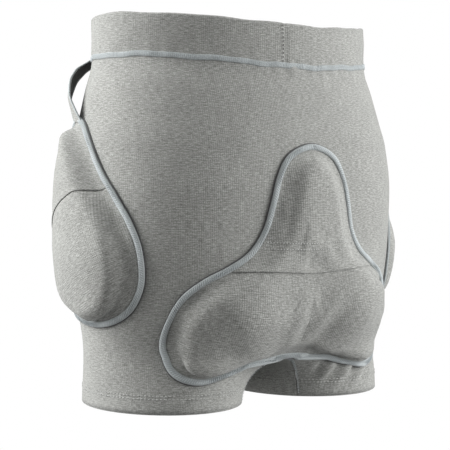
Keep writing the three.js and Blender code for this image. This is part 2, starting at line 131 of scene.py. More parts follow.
@dataclass(frozen=True)
class WornShape:
    """Outer surface of the shorts as worn.

    The share q runs from 0 at the centre back to 1 over the wearer's left side to the centre front, and
    to -1 over the right side.
    """

    rim_z: float = from_frame("waistband_casing", 2)
    seam_z: float = 322.0
    waist_dip: float = 11.0
    crotch_z: float = 42.0
    crotch_rise: float = 5.0
    thigh_z: float = 110.0
    waist_width: float = from_frame("waistband_casing", 0)
    waist_depth: float = 110.5
    hip_width: float = from_frame("back_panel", 0)
    hip_back: float = 117.0
    hip_front: float = 114.0
    leg_x: float = (from_frame("leg_hem_left", 0) + from_frame("leg_hem_left", 0, False)) / 2
    leg_width: float = (from_frame("leg_hem_left", 0) - from_frame("leg_hem_left", 0, False)) / 2
    leg_depth: float = (from_frame("leg_hem_left", 1) - from_frame("leg_hem_left", 1, False)) / 2
    leg_seam: float = math.radians(135)
    middle_y: float = (from_frame("leg_hem_left", 1) + from_frame("leg_hem_left", 1, False)) / 2 - 5
    seat: tuple[float, float, float, float, float] = (68.0, 88.0, 42.0, 42.0, 13.0)

    def sections(self) -> dict[str, Array]:
        """Torso sections by height, as arrays of equal length."""
        w, hb, hf, d = self.hip_width, self.hip_back, self.hip_front, self.waist_depth
        return {
            "z": np.array([0, 45, 90, 150, 200, 240, 267, 292, self.seam_z, self.rim_z]),
            "width": np.array([w - 6, w - 5, w - 3, w, w - 1, w - 4, w - 10.5, self.waist_width + 7,
                               self.waist_width, self.waist_width]),
            "back": np.array([hb - 35, hb - 35, hb - 17, hb - 4, hb, hb, d + 4.5, d + 2.5, d, d]),
            "front": np.array([hf - 38, hf - 34, hf - 18, hf - 2, hf, hf - 1, d + 1.5, d + 0.5, d - 0.5,
                               d - 1]),
            "y": np.array([5, 5, 5, 5, 5, 4, 4, 3, 1, 0.0]),
            "n": np.array([2.3, 2.3, 2.35, 2.4, 2.4, 2.3, 2.2, 2.1, 2.0, 2.0]),
        }

    def size_at(self, key: str, z: Array) -> Array:
        """One torso size at some heights, on a curve that never overshoots the sections.

        Args:
            key: name of the size.
            z: heights, in millimetres.

        Returns:
            The sizes.
        """
        sections = self.sections()
        knots, values = sections["z"], sections[key]
        slope = np.diff(values) / np.diff(knots)
        tangent = np.concatenate([slope[:1], np.zeros(len(slope) - 1), slope[-1:]])
        product = slope[:-1] * slope[1:]
        total = np.where(product > 0, slope[:-1] + slope[1:], 1)
        tangent[1:-1] = np.where(product > 0, 2 * product / total, 0)
        z = np.clip(z, knots[0], knots[-1])
        i = np.clip(np.searchsorted(knots, z, side="right") - 1, 0, len(values) - 2)
        run = knots[i + 1] - knots[i]
        s = (z - knots[i]) / run
        rise = (s ** 3 - 2 * s ** 2 + s) * run * tangent[i] + (s ** 3 - s ** 2) * run * tangent[i + 1]
        return (2 * s ** 3 - 3 * s ** 2 + 1) * values[i] + (3 * s ** 2 - 2 * s ** 3) * values[i + 1] + rise

    def torso(self, t: Array, z: Array) -> tuple[Array, Array]:
        """Torso contour of one half: x and y, with t from 0 at the front to 1 at the back.

        Args:
            t: places round the section.
            z: heights, in millimetres.

        Returns:
            X and Y of the section.
        """
        s, c = np.sin(math.pi * t), np.cos(math.pi * t)
        depth = np.where(c > 0, self.size_at("front", z), self.size_at("back", z))
        n = self.size_at("n", z)
        reach = (np.abs(s / self.size_at("width", z)) ** n + np.abs(c / depth) ** n) ** (-1 / n)
        x = reach * s
        at_x, at_z, wide, high, deep = self.seat
        swell = deep * np.exp(-(((x - at_x) / wide) ** 2) - ((z - at_z) / high) ** 2)
        return x, self.size_at("y", z) - reach * c + swell * np.clip(-2 * c, 0, 1)

    def dip(self, t: Array, z: Array) -> Array:
        """How far the waist runs lower towards the centre back."""
        return self.waist_dip * smooth(0.5, 1, t) * smooth(240, self.seam_z, z)

    def base(self, q: Array, z: Array, bridged: bool = False) -> Array:
        """Points of the surface, in millimetres.

        Args:
            q: shares of the half girth.
            z: heights.
            bridged: follow a cloth that spans the gap between the legs at the centre back.

        Returns:
            Array of points.
        """
        q = (np.asarray(q, float) + 1) % 2 - 1
        q, z = np.broadcast_arrays(q, np.asarray(z, float))
        t, side = 1 - np.abs(q), np.where(q < 0, -1.0, 1.0)
        x, y = self.torso(t, z)
        angle = (2 * t - 1) * self.leg_seam
        sideways = np.sin(math.pi * t) ** 2
        rise = np.clip(z / blend(self.crotch_z, self.thigh_z, sideways), 0, 1)
        w = 1 - np.maximum(0, 1 - rise ** 2) ** (0.5 + 1.5 * sideways)
        if bridged:
            w = np.maximum(w, smooth(0.21, 0.06, np.abs(q)))
        x = blend(self.leg_x + self.leg_width * np.cos(angle), x, w)
        y = blend(5 + self.leg_depth * np.sin(angle), y, w)
        return np.stack([side * x, y + self.middle_y, z - self.dip(t, z)], -1)

    def normal(self, q: Array, z: Array, bridged: bool = False) -> Array:
        """Outward unit normals.

        Args:
            q: shares of the half girth, from the centre back.
            z: heights, in millimetres.
            bridged: whether to span the crotch.

        Returns:
            Unit normals.
        """
        q, z = np.broadcast_arrays(np.asarray(q, float), np.asarray(z, float))
        if bridged:
            z = np.maximum(z, self.crotch_z + 0.5)
        step = 0.004
        side = np.where(q < 0, -1.0, 1.0)
        split = z < self.crotch_z
        low = np.where(split, side * np.clip(np.abs(q) - side * step, 0, 1), q - step)
        high = np.where(split, side * np.clip(np.abs(q) + side * step, 0, 1), q + step)
        along = self.base(low, z) - self.base(high, z)
        up = self.base(q, z + 1) - self.base(q, z)
        normal = np.cross(along, up)
        return normal / np.maximum(np.linalg.norm(normal, axis=-1, keepdims=True), 1e-9)


class ClothMap:
    """Finds places on the worn shape by millimetres of cloth from the centre back, or from the side."""

    def __init__(self, shape: WornShape, heights: int = 181, samples: int = 241,
                 reach: float = 520.0) -> None:
        """Tabulates the girth.

        Args:
            shape: the worn shape.
            heights: rows of the table.
            samples: places along each row.
            reach: longest half girth held, in millimetres.
        """
        self.shape = shape
        self.z = np.linspace(0, shape.rim_z, heights)
        t = np.linspace(0, 1, samples)
        points = shape.base(t[None, :], self.z[:, None])
        lengths = np.cumsum(np.linalg.norm(np.diff(points, axis=1), axis=2), axis=1)
        lengths = np.concatenate([np.zeros((heights, 1)), lengths], axis=1)
        self.distance = np.linspace(0, reach, samples)
        self.share = np.array([np.interp(self.distance, row, t) for row in lengths])
        self.side_distance = lengths[:, samples // 2]
        self.half_girth = lengths[:, -1]

    def q_from_back(self, along: Array, z: Array) -> Array:
        """Share q at a signed distance from the centre back.

        Args:
            along: distances from the centre back.
            z: heights, in millimetres.

        Returns:
            Shares of the half girth.
        """
        along, z = np.broadcast_arrays(np.asarray(along, float), np.asarray(z, float))
        row = np.clip(z, 0, self.z[-1] - 1e-6) / (self.z[1] - self.z[0])
        col = np.clip(np.abs(along), 0, self.distance[-1] - 1e-6) / (self.distance[1] - self.distance[0])
        i, j = row.astype(int), col.astype(int)
        u, v = row - i, col - j
        low = blend(self.share[i, j], self.share[i, j + 1], v)
        high = blend(self.share[i + 1, j], self.share[i + 1, j + 1], v)
        return np.where(along < 0, -1, 1) * blend(low, high, u)

    def place(self, q: Array, z: Array, lift: Array) -> Array:
        """Points lifted off the surface, in millimetres, with the folds of the knit."""
        lift = np.asarray(lift, float) + relief(self, q, z)
        return self.shape.base(q, z) + self.shape.normal(q, z) * lift[..., None]

    def from_back(self, along: Array, z: Array, lift: Array) -> Array:
        """Chart of the tail: millimetres from the centre back, spanning the gap between the legs.

        Args:
            along: distances from the centre back.
            z: heights, in millimetres.
            lift: lifts off the body.

        Returns:
            Points in millimetres.
        """
        along, z, lift = np.broadcast_arrays(*(np.asarray(v, float) for v in (along, z, lift)))
        q = self.q_from_back(along, np.maximum(z, self.shape.crotch_z + 10))
        lift = lift + relief(self, q, z) * smooth(30, 60, z)
        return self.shape.base(q, z, True) + self.shape.normal(q, z, True) * lift[..., None]

    def from_side(self, side: Side) -> Chart:
        """Chart of a hip: millimetres rearward of the side.

        Args:
            side: side of the body.

        Returns:
            The chart.
        """
        def chart(rearward: Array, z: Array, lift: Array) -> Array:
            """Points at flat places counted from the middle of the side."""
            distance = np.interp(z, self.z, self.side_distance) - rearward
            return self.place(side.value * self.q_from_back(distance, z), z, lift)
        return chart

    def along(self, q: Array, z: Array) -> Array:
        """Signed distance from the centre back of a share q, in millimetres."""
        half = np.interp(z, self.z, self.half_girth)
        return np.asarray(q) * half


def relief(cloth: ClothMap, q: Array, z: Array) -> Array:
    """Folds and slack of the knit over the body, in millimetres along the normal.

    Args:
        cloth: map of the worn cloth.
        q: shares of the half girth, from the centre back.
        z: heights, in millimetres.

    Returns:
        Lifts along the normal.
    """
    q, z = np.broadcast_arrays(np.asarray(q, float), np.asarray(z, float))
    d = cloth.along(q, z)
    seam = cloth.shape.seam_z
    slack = 0.7 * np.sin(d / 61 + z / 47 + 0.6) * np.sin(z / 39 - d / 140)
    slack = slack * smooth(20, 60, z) * smooth(340, 280, z) * smooth(1.0, 0.92, np.abs(q))
    pucker = 0.45 * np.sin(d / 2.7 + 1.4 * np.sin(d / 19)) * (0.35 + 0.65 * smooth(60, -40, d))
    pucker = pucker * (bell(z, seam - 5, 5) + 0.5 * bell(z, seam + 5, 4))
    knot = 1.3 * bell(d, 14, 5) * bell(z, seam - 3, 5)
    seat_folds = under_seat_folds(d, z)
    return slack + pucker + knot + seat_folds


def under_seat_folds(d: Array, z: Array) -> Array:
    """Creases where the pad ends over the back of each thigh.

    Args:
        d: distances from the centre back.
        z: heights, in millimetres.

    Returns:
        Lifts along the normal.
    """
    right = np.sin((d * 0.62 + z * 1.1) / 2.7) * bell(z, 25, 10) * smooth(-118, -92, d) * smooth(-14, -34, d)
    left = np.sin((d * 0.28 + z * 1.2) / 2.2) * bell(z, 17, 6) * smooth(132, 112, d) * smooth(60, 80, d)
    return (3.3 * right + 2.0 * left) * smooth(2, 9, z)


# ---- Meshes --------------------------------------------------------------------------------------
def mesh_object(name: str, points: Array, faces: Sequence[Sequence[int]], uv: Optional[Array] = None,
                smooth_shading: bool = True) -> bpy.types.Object:
    """Makes an object from points in millimetres.

    Args:
        name: object name.
        points: N x 3 array.
        faces: corner indices of each face.
        uv: per-point cloth coordinates in millimetres, stored in metres as the UV map "cloth".
        smooth_shading: shade the faces smooth.

    Returns:
        The linked object, at the origin.
    """
    mesh = bpy.data.meshes.new(name)
    mesh.from_pydata((np.asarray(points) * MM).tolist(), [], [list(map(int, f)) for f in faces])
    mesh.validate(clean_customdata=False)
    if uv is not None:
        layer = mesh.uv_layers.new(name="cloth")
        corner = np.empty(len(mesh.loops), dtype=np.int32)
        mesh.loops.foreach_get("vertex_index", corner)
        layer.data.foreach_set("uv", (np.asarray(uv)[corner] * MM).astype(np.float32).ravel())
    mesh.polygons.foreach_set("use_smooth", np.full(len(mesh.polygons), smooth_shading))
    mesh.update()
    obj = bpy.data.objects.new(name, mesh)
    bpy.context.scene.collection.objects.link(obj)
    return obj


def grid_faces(index: Array, closed: bool = False) -> Array:
    """Quads of a grid of point indices; closed joins the last column to the first.

    Args:
        index: rows of vertex numbers.
        closed: whether each row closes on itself.

    Returns:
        Faces of four vertices.
    """
    if closed:
        index = np.concatenate([index, index[:, :1]], axis=1)
    return np.stack([index[:-1, :-1], index[:-1, 1:], index[1:, 1:], index[1:, :-1]], -1).reshape(-1, 4)


def disc_faces(shape: tuple[int, int], closed: bool = False) -> Array:
    """Faces of rings round a middle point.

    Args:
        shape: number of rings and of points in each.
        closed: whether each ring closes on itself.

    Returns:
        Faces of four vertices, two of them the same at the middle.
    """
    index = np.arange(shape[0] * shape[1]).reshape(shape)
    index[0, :] = index[0, 0]
    return grid_faces(index, closed)


def without_repeats(faces: Array) -> list[list[int]]:
    """Faces with doubled corners dropped, and faces of under three corners left out.

    Args:
        faces: faces of four vertices.

    Returns:
        Faces with repeated vertices taken out.
    """
    kept = []
    for face in faces.tolist():
        corners = [c for k, c in enumerate(face) if c != face[k - 1]]
        if len(set(corners)) > 2:
            kept.append(corners)
    return kept


def closed_sheet(name: str, outer: Array, inner: Array, faces: Array, uv: Array) -> bpy.types.Object:
    """Closed sheet from two skins with the same faces.

    Args:
        name: object name.
        outer: points of the outer skin, in millimetres, as rows or as a grid.
        inner: the same points of the inner skin.
        faces: F x 4 indices. Points that no face uses are left out.
        uv: cloth coordinates of the points, in millimetres.

    Returns:
        The object.
    """
    used, packed = np.unique(faces, return_inverse=True)
    outer, inner, uv = outer.reshape(-1, 3)[used], inner.reshape(-1, 3)[used], uv.reshape(-1, 2)[used]
    count = len(outer)
    skin = without_repeats(packed.reshape(faces.shape))
    edges = {(f[k - 1], f[k]) for f in skin for k in range(len(f))}
    walls = [[b, a, a + count, b + count] for a, b in edges if (b, a) not in edges]
    walls.sort()
    back = [[c + count for c in reversed(f)] for f in skin]
    points = np.concatenate([outer, inner])
    obj = mesh_object(name, points, skin + back + walls, np.concatenate([uv, uv]))
    point_outwards(obj)
    return obj


def swept_loop(name: str, sections: Array, closed: bool = True) -> bpy.types.Object:
    """Closed section swept along a line.

    Args:
        name: object name.
        sections: S x K x 3 section corners in millimetres, anticlockwise seen against the sweep.
        closed: whether the sweep closes on itself; else its ends are capped.

    Returns:
        The object, with cloth coordinates along and around it.
    """
    stations, corners = sections.shape[:2]
    index = np.arange(stations * corners).reshape(stations, corners)
    faces = grid_faces(np.concatenate([index, index[:, :1]], axis=1).T, closed).tolist()
    if not closed:
        faces += [index[0].tolist(), index[-1][::-1].tolist()]
    middle = sections.mean(axis=1)
    run = np.concatenate([[0], np.cumsum(np.linalg.norm(np.diff(middle, axis=0), axis=1))])
    around = np.concatenate([[0], np.cumsum(np.linalg.norm(np.diff(sections[0], axis=0), axis=1))])
    uv = np.stack(np.broadcast_arrays(run[:, None], around[None, :]), -1).reshape(-1, 2)
    obj = mesh_object(name, sections.reshape(-1, 3), faces, uv)
    point_outwards(obj)
    return obj


def point_outwards(obj: bpy.types.Object) -> None:
    """Turns a closed mesh right side out if its volume is negative.

    Args:
        obj: the object.
    """
    mesh = obj.data
    mesh.calc_loop_triangles()
    points = np.empty(len(mesh.vertices) * 3)
    mesh.vertices.foreach_get("co", points)
    points = points.reshape(-1, 3)
    corners = np.empty(len(mesh.loop_triangles) * 3, dtype=np.int32)
    mesh.loop_triangles.foreach_get("vertices", corners)
    a, b, c = points[corners.reshape(-1, 3)].transpose(1, 0, 2)
    if (a * np.cross(b, c)).sum() < 0:
        mesh.flip_normals()


def surface_area(obj: bpy.types.Object) -> float:
    """Area of one skin of a thin closed sheet, in square metres."""
    return sum(p.area for p in obj.data.polygons) / 2


def laid_on(obj: bpy.types.Object, line: Array, out: Array, lift: float = 0.25) -> Array:
    """Lays a line on a finished piece.

    Args:
        obj: the piece.
        line: N x 3 points near its outer face, in millimetres.
        out: N x 3 outward directions.
        lift: how far over the face the line ends up.

    Returns:
        The points, each on the face where there is one and unchanged where there is none.
    """
    points = [vertex.co / MM for vertex in obj.data.vertices]
    tree = BVHTree.FromPolygons(points, [tuple(polygon.vertices) for polygon in obj.data.polygons])
    laid = line.copy()
    for k, (point, away) in enumerate(zip(line, out)):
        hit = tree.ray_cast(Vector(point + 6 * away), Vector(-away), 12)[0]
        if hit is not None:
            laid[k] = np.array(hit) + lift * away
    return laid


def closed_curve(points: Sequence[Sequence[float]], count: int) -> Array:
    """Smooth closed curve through flat points, sampled evenly by length.

    Args:
        points: control points.
        count: number of samples.

    Returns:
        count x 2 array that starts at the first point.
    """
    control = np.asarray(points, float)
    fine = 24
    s = np.arange(len(control) * fine) / fine
    i = s.astype(int)
    u = (s - i)[:, None]
    p0, p1, p2, p3 = (control[(i + k) % len(control)] for k in (-1, 0, 1, 2))
    curve = 0.5 * (2 * p1 + (p2 - p0) * u + (2 * p0 - 5 * p1 + 4 * p2 - p3) * u ** 2
                   + (3 * p1 - p0 - 3 * p2 + p3) * u ** 3)
    ring = np.concatenate([curve, curve[:1]])
    run = np.concatenate([[0], np.cumsum(np.linalg.norm(np.diff(ring, axis=0), axis=1))])
    at = np.linspace(0, run[-1], count, endpoint=False)
    return np.stack([np.interp(at, run, ring[:, k]) for k in (0, 1)], -1)


def outward_normals(outline: Array) -> Array:
    """Flat outward normals of a closed outline.

    Args:
        outline: corners of the closed outline.

    Returns:
        One unit normal for each corner.
    """
    along = np.roll(outline, -1, axis=0) - np.roll(outline, 1, axis=0)
    x, y = outline.T
    turn = np.sign((x * np.roll(y, -1) - np.roll(x, -1) * y).sum())
    normal = turn * np.stack([along[:, 1], -along[:, 0]], -1)
    return normal / np.linalg.norm(normal, axis=1, keepdims=True)


def distance_inside(outline: Array, x: Array, z: Array) -> Array:
    """Distance from each place to a closed outline, positive inside and negative outside.

    Args:
        outline: corners of the closed outline.
        x: flat places along the girth.
        z: heights, in millimetres.

    Returns:
        Distances to the outline, positive inside.
    """
    shape = x.shape
    p = np.stack([x.ravel(), z.ravel()], -1)
    gap = np.sqrt(((p[:, None, :] - outline[None, :, :]) ** 2).sum(-1)).min(1)
    a, b = outline, np.roll(outline, -1, axis=0)
    crosses = (a[None, :, 1] > p[:, None, 1]) != (b[None, :, 1] > p[:, None, 1])
    run = b[:, 1] - a[:, 1]
    at = a[:, 0] + (p[:, None, 1] - a[:, 1]) * (b[:, 0] - a[:, 0]) / np.where(run == 0, 1e-9, run)
    inside = (crosses & (p[:, None, 0] < at)).sum(1) % 2 == 1
    return np.where(inside, gap, -gap).reshape(shape)


# ---- Finishes ------------------------------------------------------------------------------------
class NodeKit:
    """Short calls for building one material's node tree."""

    def __init__(self, name: str) -> None:
        """Makes a material with only an output and a Principled shader.

        Args:
            name: name of the material.
        """
        self.material = bpy.data.materials.new(name)
        self.material.use_nodes = True
        self.tree = self.material.node_tree
        self.tree.nodes.clear()
        self.output = self.tree.nodes.new("ShaderNodeOutputMaterial")
        self.shader = self.tree.nodes.new("ShaderNodeBsdfPrincipled")
        self.join(self.shader.outputs[0], self.output.inputs[0])

    def join(self, source: bpy.types.NodeSocket, target: bpy.types.NodeSocket) -> None:
        """Links two sockets."""
        self.tree.links.new(source, target)

    def node(self, kind: str, **values: object) -> bpy.types.Node:
        """Adds a node and sets its properties.

        Args:
            kind: type of the node.
            values: settings of the node.

        Returns:
            The node.
        """
        made = self.tree.nodes.new(kind)
        for key, value in values.items():
            setattr(made, key, value)
        return made

    def cloth(self, turn: float, stretch: tuple[float, float]) -> bpy.types.NodeSocket:
        """Cloth coordinates turned by an angle and stretched.

        Args:
            turn: turn of the grain.
            stretch: repeats across and along.

        Returns:
            Vector socket.
        """
        uv = self.node("ShaderNodeUVMap", uv_map="cloth")
        turned = self.node("ShaderNodeMapping")
        turned.inputs["Rotation"].default_value[2] = turn
        stretched = self.node("ShaderNodeMapping")
        stretched.inputs["Scale"].default_value = (stretch[0], stretch[1], 1)
        self.join(uv.outputs[0], turned.inputs[0])
        self.join(turned.outputs[0], stretched.inputs[0])
        return stretched.outputs[0]

    def place(self, scale: float) -> bpy.types.NodeSocket:
        """Object coordinates, scaled.

        Args:
            scale: repeats per unit.

        Returns:
            Vector socket.
        """
        where = self.node("ShaderNodeTexCoord")
        mapping = self.node("ShaderNodeMapping")
        mapping.inputs["Scale"].default_value = (scale, scale, scale)
        self.join(where.outputs["Object"], mapping.inputs[0])
        return mapping.outputs[0]

    def noise(self, where: bpy.types.NodeSocket, scale: float, detail: float = 2.0,
              roughness: float = 0.55) -> bpy.types.NodeSocket:
        """Noise value.

        Args:
            where: vector socket.
            scale: repeats per unit.
            detail: octaves.
            roughness: weight of the finer octaves.

        Returns:
            Value socket.
        """
        made = self.node("ShaderNodeTexNoise")
        made.inputs["Scale"].default_value = scale
        made.inputs["Detail"].default_value = detail
        made.inputs["Roughness"].default_value = roughness
        self.join(where, made.inputs["Vector"])
        return made.outputs[0]

    def wave(self, where: bpy.types.NodeSocket, scale: float, direction: str = "X",
             distortion: float = 0.0) -> bpy.types.NodeSocket:
        """Bands of a sine.

        Args:
            where: vector socket.
            scale: repeats per unit.
            direction: axis of the bands.
            distortion: waviness of the bands.

        Returns:
            Value socket.
        """
        made = self.node("ShaderNodeTexWave", bands_direction=direction)
        made.inputs["Scale"].default_value = scale
        made.inputs["Distortion"].default_value = distortion
        self.join(where, made.inputs["Vector"])
        return made.outputs[1]

    def ramp(self, value: bpy.types.NodeSocket, stops: Sequence[tuple[float, Sequence[float]]]
             ) -> bpy.types.NodeSocket:
        """Colour ramp.

        Args:
            value: value socket.
            stops: positions and colours.

        Returns:
            Colour socket.
        """
        made = self.node("ShaderNodeValToRGB")
        ramp = made.color_ramp
        while len(ramp.elements) < len(stops):
            ramp.elements.new(0.5)
        for element, (at, color) in zip(ramp.elements, stops):
            element.position = at
            element.color = (*color, 1)
        self.join(value, made.inputs[0])
        return made.outputs[0]

    def mix(self, a: bpy.types.NodeSocket, b: bpy.types.NodeSocket, share: object,
            kind: str = "MIX") -> bpy.types.NodeSocket:
        """Colour mix of two sockets; share is a number or a socket.

        Args:
            a: first colour.
            b: second colour.
            share: share of the second, or a socket.
            kind: way of mixing.

        Returns:
            Colour socket.
        """
        made = self.node("ShaderNodeMix", data_type="RGBA", blend_type=kind)
        if isinstance(share, (int, float)):
            made.inputs[0].default_value = share
        else:
            self.join(share, made.inputs[0])
        self.join(a, made.inputs[6])
        self.join(b, made.inputs[7])
        return made.outputs[2]

    def total(self, parts: Sequence[tuple[bpy.types.NodeSocket, float]]) -> bpy.types.NodeSocket:
        """Weighted sum of values.

        Args:
            parts: sockets and their weights.

        Returns:
            Value socket.
        """
        result = None
        for socket, weight in parts:
            scaled = self.node("ShaderNodeMath", operation="MULTIPLY_ADD")
            scaled.inputs[1].default_value = weight
            self.join(socket, scaled.inputs[0])
            if result is None:
                scaled.inputs[2].default_value = 0.0
            else:
                self.join(result, scaled.inputs[2])
            result = scaled.outputs[0]
        return result

    def bump(self, height: bpy.types.NodeSocket, depth_mm: float) -> None:
        """Bump of the shader's normal.

        Args:
            height: value socket.
            depth_mm: depth of the relief.
        """
        made = self.node("ShaderNodeBump")
        made.inputs["Strength"].default_value = 1.0
        made.inputs["Distance"].default_value = depth_mm * MM
        self.join(height, made.inputs["Height"])
        self.join(made.outputs[0], self.shader.inputs["Normal"])

    def set(self, **values: object) -> None:
        """Sets the shader's own sockets, with _ for a space."""
        for key, value in values.items():
            self.shader.inputs[key.replace("_", " ")].default_value = value


@dataclass(frozen=True)
class MelangeKnit:
    """Heather grey jersey: light and dark fibres in streaks along the courses, over fine wales."""

    name: str
    grain: float = 0.0
    dark: tuple[float, float, float] = (0.145, 0.148, 0.136)
    middle: tuple[float, float, float] = (0.285, 0.288, 0.272)
    light: tuple[float, float, float] = (0.480, 0.487, 0.468)

    def build(self) -> bpy.types.Material:
        """Makes the material."""
        kit = NodeKit(self.name)
        streaks = kit.noise(kit.cloth(self.grain, (190, 1150)), 1.0, 3.0, 0.62)
        short = kit.noise(kit.cloth(self.grain, (800, 1500)), 1.0, 2.0, 0.6)
        cloud = kit.noise(kit.cloth(self.grain, (38, 60)), 1.0, 3.0, 0.5)
        fibre = kit.total([(streaks, 0.55), (short, 0.45)])
        stops = [(0.36, self.dark), (0.5, self.middle), (0.64, self.light)]
        colour = kit.ramp(fibre, stops)
        tone = kit.ramp(cloud, [(0.3, (0.90, 0.90, 0.90)), (0.7, (1.0, 1.0, 1.0))])
        kit.join(kit.mix(colour, tone, 1.0, "MULTIPLY"), kit.shader.inputs["Base Color"])
        wales = kit.wave(kit.cloth(self.grain, (1, 1)), 170.0, "X", 0.0)
        courses = kit.wave(kit.cloth(self.grain, (1, 1)), 230.0, "Y", 0.0)
        height = kit.total([(wales, 0.35), (courses, 0.25), (streaks, 0.5), (short, 0.5)])
        kit.bump(height, 0.32)
        kit.set(Roughness=0.92, Sheen_Weight=0.25, Sheen_Roughness=0.5)
        return kit.material


@dataclass(frozen=True)
class TapeFinish:
    """Folded stretch tape or thread, light blue grey, with a fine rib across it."""

    name: str
    colour: tuple[float, float, float] = (0.40, 0.432, 0.436)
    rib_per_m: float = 330.0
    depth_mm: float = 0.18

    def build(self) -> bpy.types.Material:
        """Makes the material."""
        kit = NodeKit(self.name)
        where = kit.cloth(0.5, (1, 1))
        rib = kit.wave(where, self.rib_per_m, "X", 1.2)
        fuzz = kit.noise(kit.cloth(0.0, (900, 900)), 1.0, 3.0)
        patch = kit.noise(kit.cloth(0.0, (45, 45)), 1.0, 2.0)
        dark = tuple(0.74 * c for c in self.colour)
        light = tuple(min(1.0, 1.16 * c) for c in self.colour)
        colour = kit.ramp(kit.total([(rib, 0.35), (fuzz, 0.35), (patch, 0.3)]), [(0.3, dark), (0.7, light)])
        kit.join(colour, kit.shader.inputs["Base Color"])
        kit.bump(kit.total([(rib, 0.7), (fuzz, 0.3)]), self.depth_mm)
        kit.set(Roughness=0.75, Sheen_Weight=0.2, Sheen_Roughness=0.4)
        return kit.material


@dataclass(frozen=True)
class BlackMesh:
    """Matt black warp-knit mesh with small round openings."""

    name: str

    def build(self) -> bpy.types.Material:
        """Makes the material."""
        kit = NodeKit(self.name)
        cells = kit.node("ShaderNodeTexVoronoi", feature="DISTANCE_TO_EDGE")
        cells.inputs["Scale"].default_value = 1.0
        cells.inputs["Randomness"].default_value = 0.15
        kit.join(kit.cloth(0.78, (620, 620)), cells.inputs["Vector"])
        fuzz = kit.noise(kit.cloth(0.0, (1500, 1500)), 1.0, 2.0)
        colour = kit.ramp(kit.total([(cells.outputs[0], -0.9), (fuzz, 0.5)]),
                          [(0.0, (0.012, 0.012, 0.011)), (0.35, (0.05, 0.05, 0.046))])
        kit.join(colour, kit.shader.inputs["Base Color"])
        kit.bump(kit.total([(cells.outputs[0], -1.0), (fuzz, 0.2)]), 0.25)
        kit.set(Roughness=0.85, Sheen_Weight=0.15)
        return kit.material


@dataclass(frozen=True)
class FoamSkin:
    """Closed-cell foam with a fine skin, off-white."""

    name: str

    def build(self) -> bpy.types.Material:
        """Makes the material."""
        kit = NodeKit(self.name)
        cells = kit.node("ShaderNodeTexVoronoi")
        cells.inputs["Scale"].default_value = 1.0
        kit.join(kit.place(1300), cells.inputs["Vector"])
        broad = kit.noise(kit.place(30), 1.0, 3.0)
        grain = kit.noise(kit.place(700), 1.0, 2.0)
        colour = kit.ramp(kit.total([(broad, 0.6), (grain, 0.4)]),
                          [(0.3, (0.60, 0.58, 0.52)), (0.7, (0.74, 0.73, 0.68))])
        kit.join(colour, kit.shader.inputs["Base Color"])
        kit.bump(kit.total([(cells.outputs[0], 0.8), (grain, 0.4)]), 0.25)
        kit.set(Roughness=0.8, Sheen_Weight=0.1)
        return kit.material


@dataclass(frozen=True)
class RibbedElastic:
    """Woven elastic band with ribs along its length."""

    name: str

    def build(self) -> bpy.types.Material:
        """Makes the material."""
        kit = NodeKit(self.name)
        where = kit.place(1)
        ribs = kit.wave(where, 130.0, "Z", 0.0)
        fuzz = kit.noise(kit.place(900), 1.0, 2.0)
        colour = kit.ramp(kit.total([(ribs, 0.6), (fuzz, 0.4)]),
                          [(0.2, (0.50, 0.50, 0.47)), (0.8, (0.80, 0.80, 0.77))])
        kit.join(colour, kit.shader.inputs["Base Color"])
        kit.bump(kit.total([(ribs, 0.8), (fuzz, 0.2)]), 0.3)
        kit.set(Roughness=0.7)
        return kit.material


class Wardrobe:
    """All finishes of the shorts, made once."""

    def __init__(self) -> None:
        """Builds the materials."""
        self.knit = MelangeKnit("melange_knit").build()
        self.knit_bias = MelangeKnit("melange_knit_bias", grain=math.radians(-24)).build()
        self.tape = TapeFinish("binding_tape").build()
        self.thread = TapeFinish("seam_thread", (0.52, 0.56, 0.575), 900.0, 0.05).build()
        self.grey_thread = TapeFinish("hem_thread", (0.50, 0.505, 0.49), 900.0, 0.05).build()
        # Near-black thread for the casing's join stitches, also used for the painted shadow line beside each
        # pad's binding.
        self.dark_thread = TapeFinish("join_thread", (0.10, 0.10, 0.10), 900.0, 0.05).build()
        self.mesh = BlackMesh("black_mesh").build()
        self.foam = FoamSkin("foam_skin").build()
        self.elastic = RibbedElastic("ribbed_elastic").build()


def dress(obj: bpy.types.Object, material: bpy.types.Material) -> None:
    """Gives an object one material."""
    obj.data.materials.clear()
    obj.data.materials.append(material)


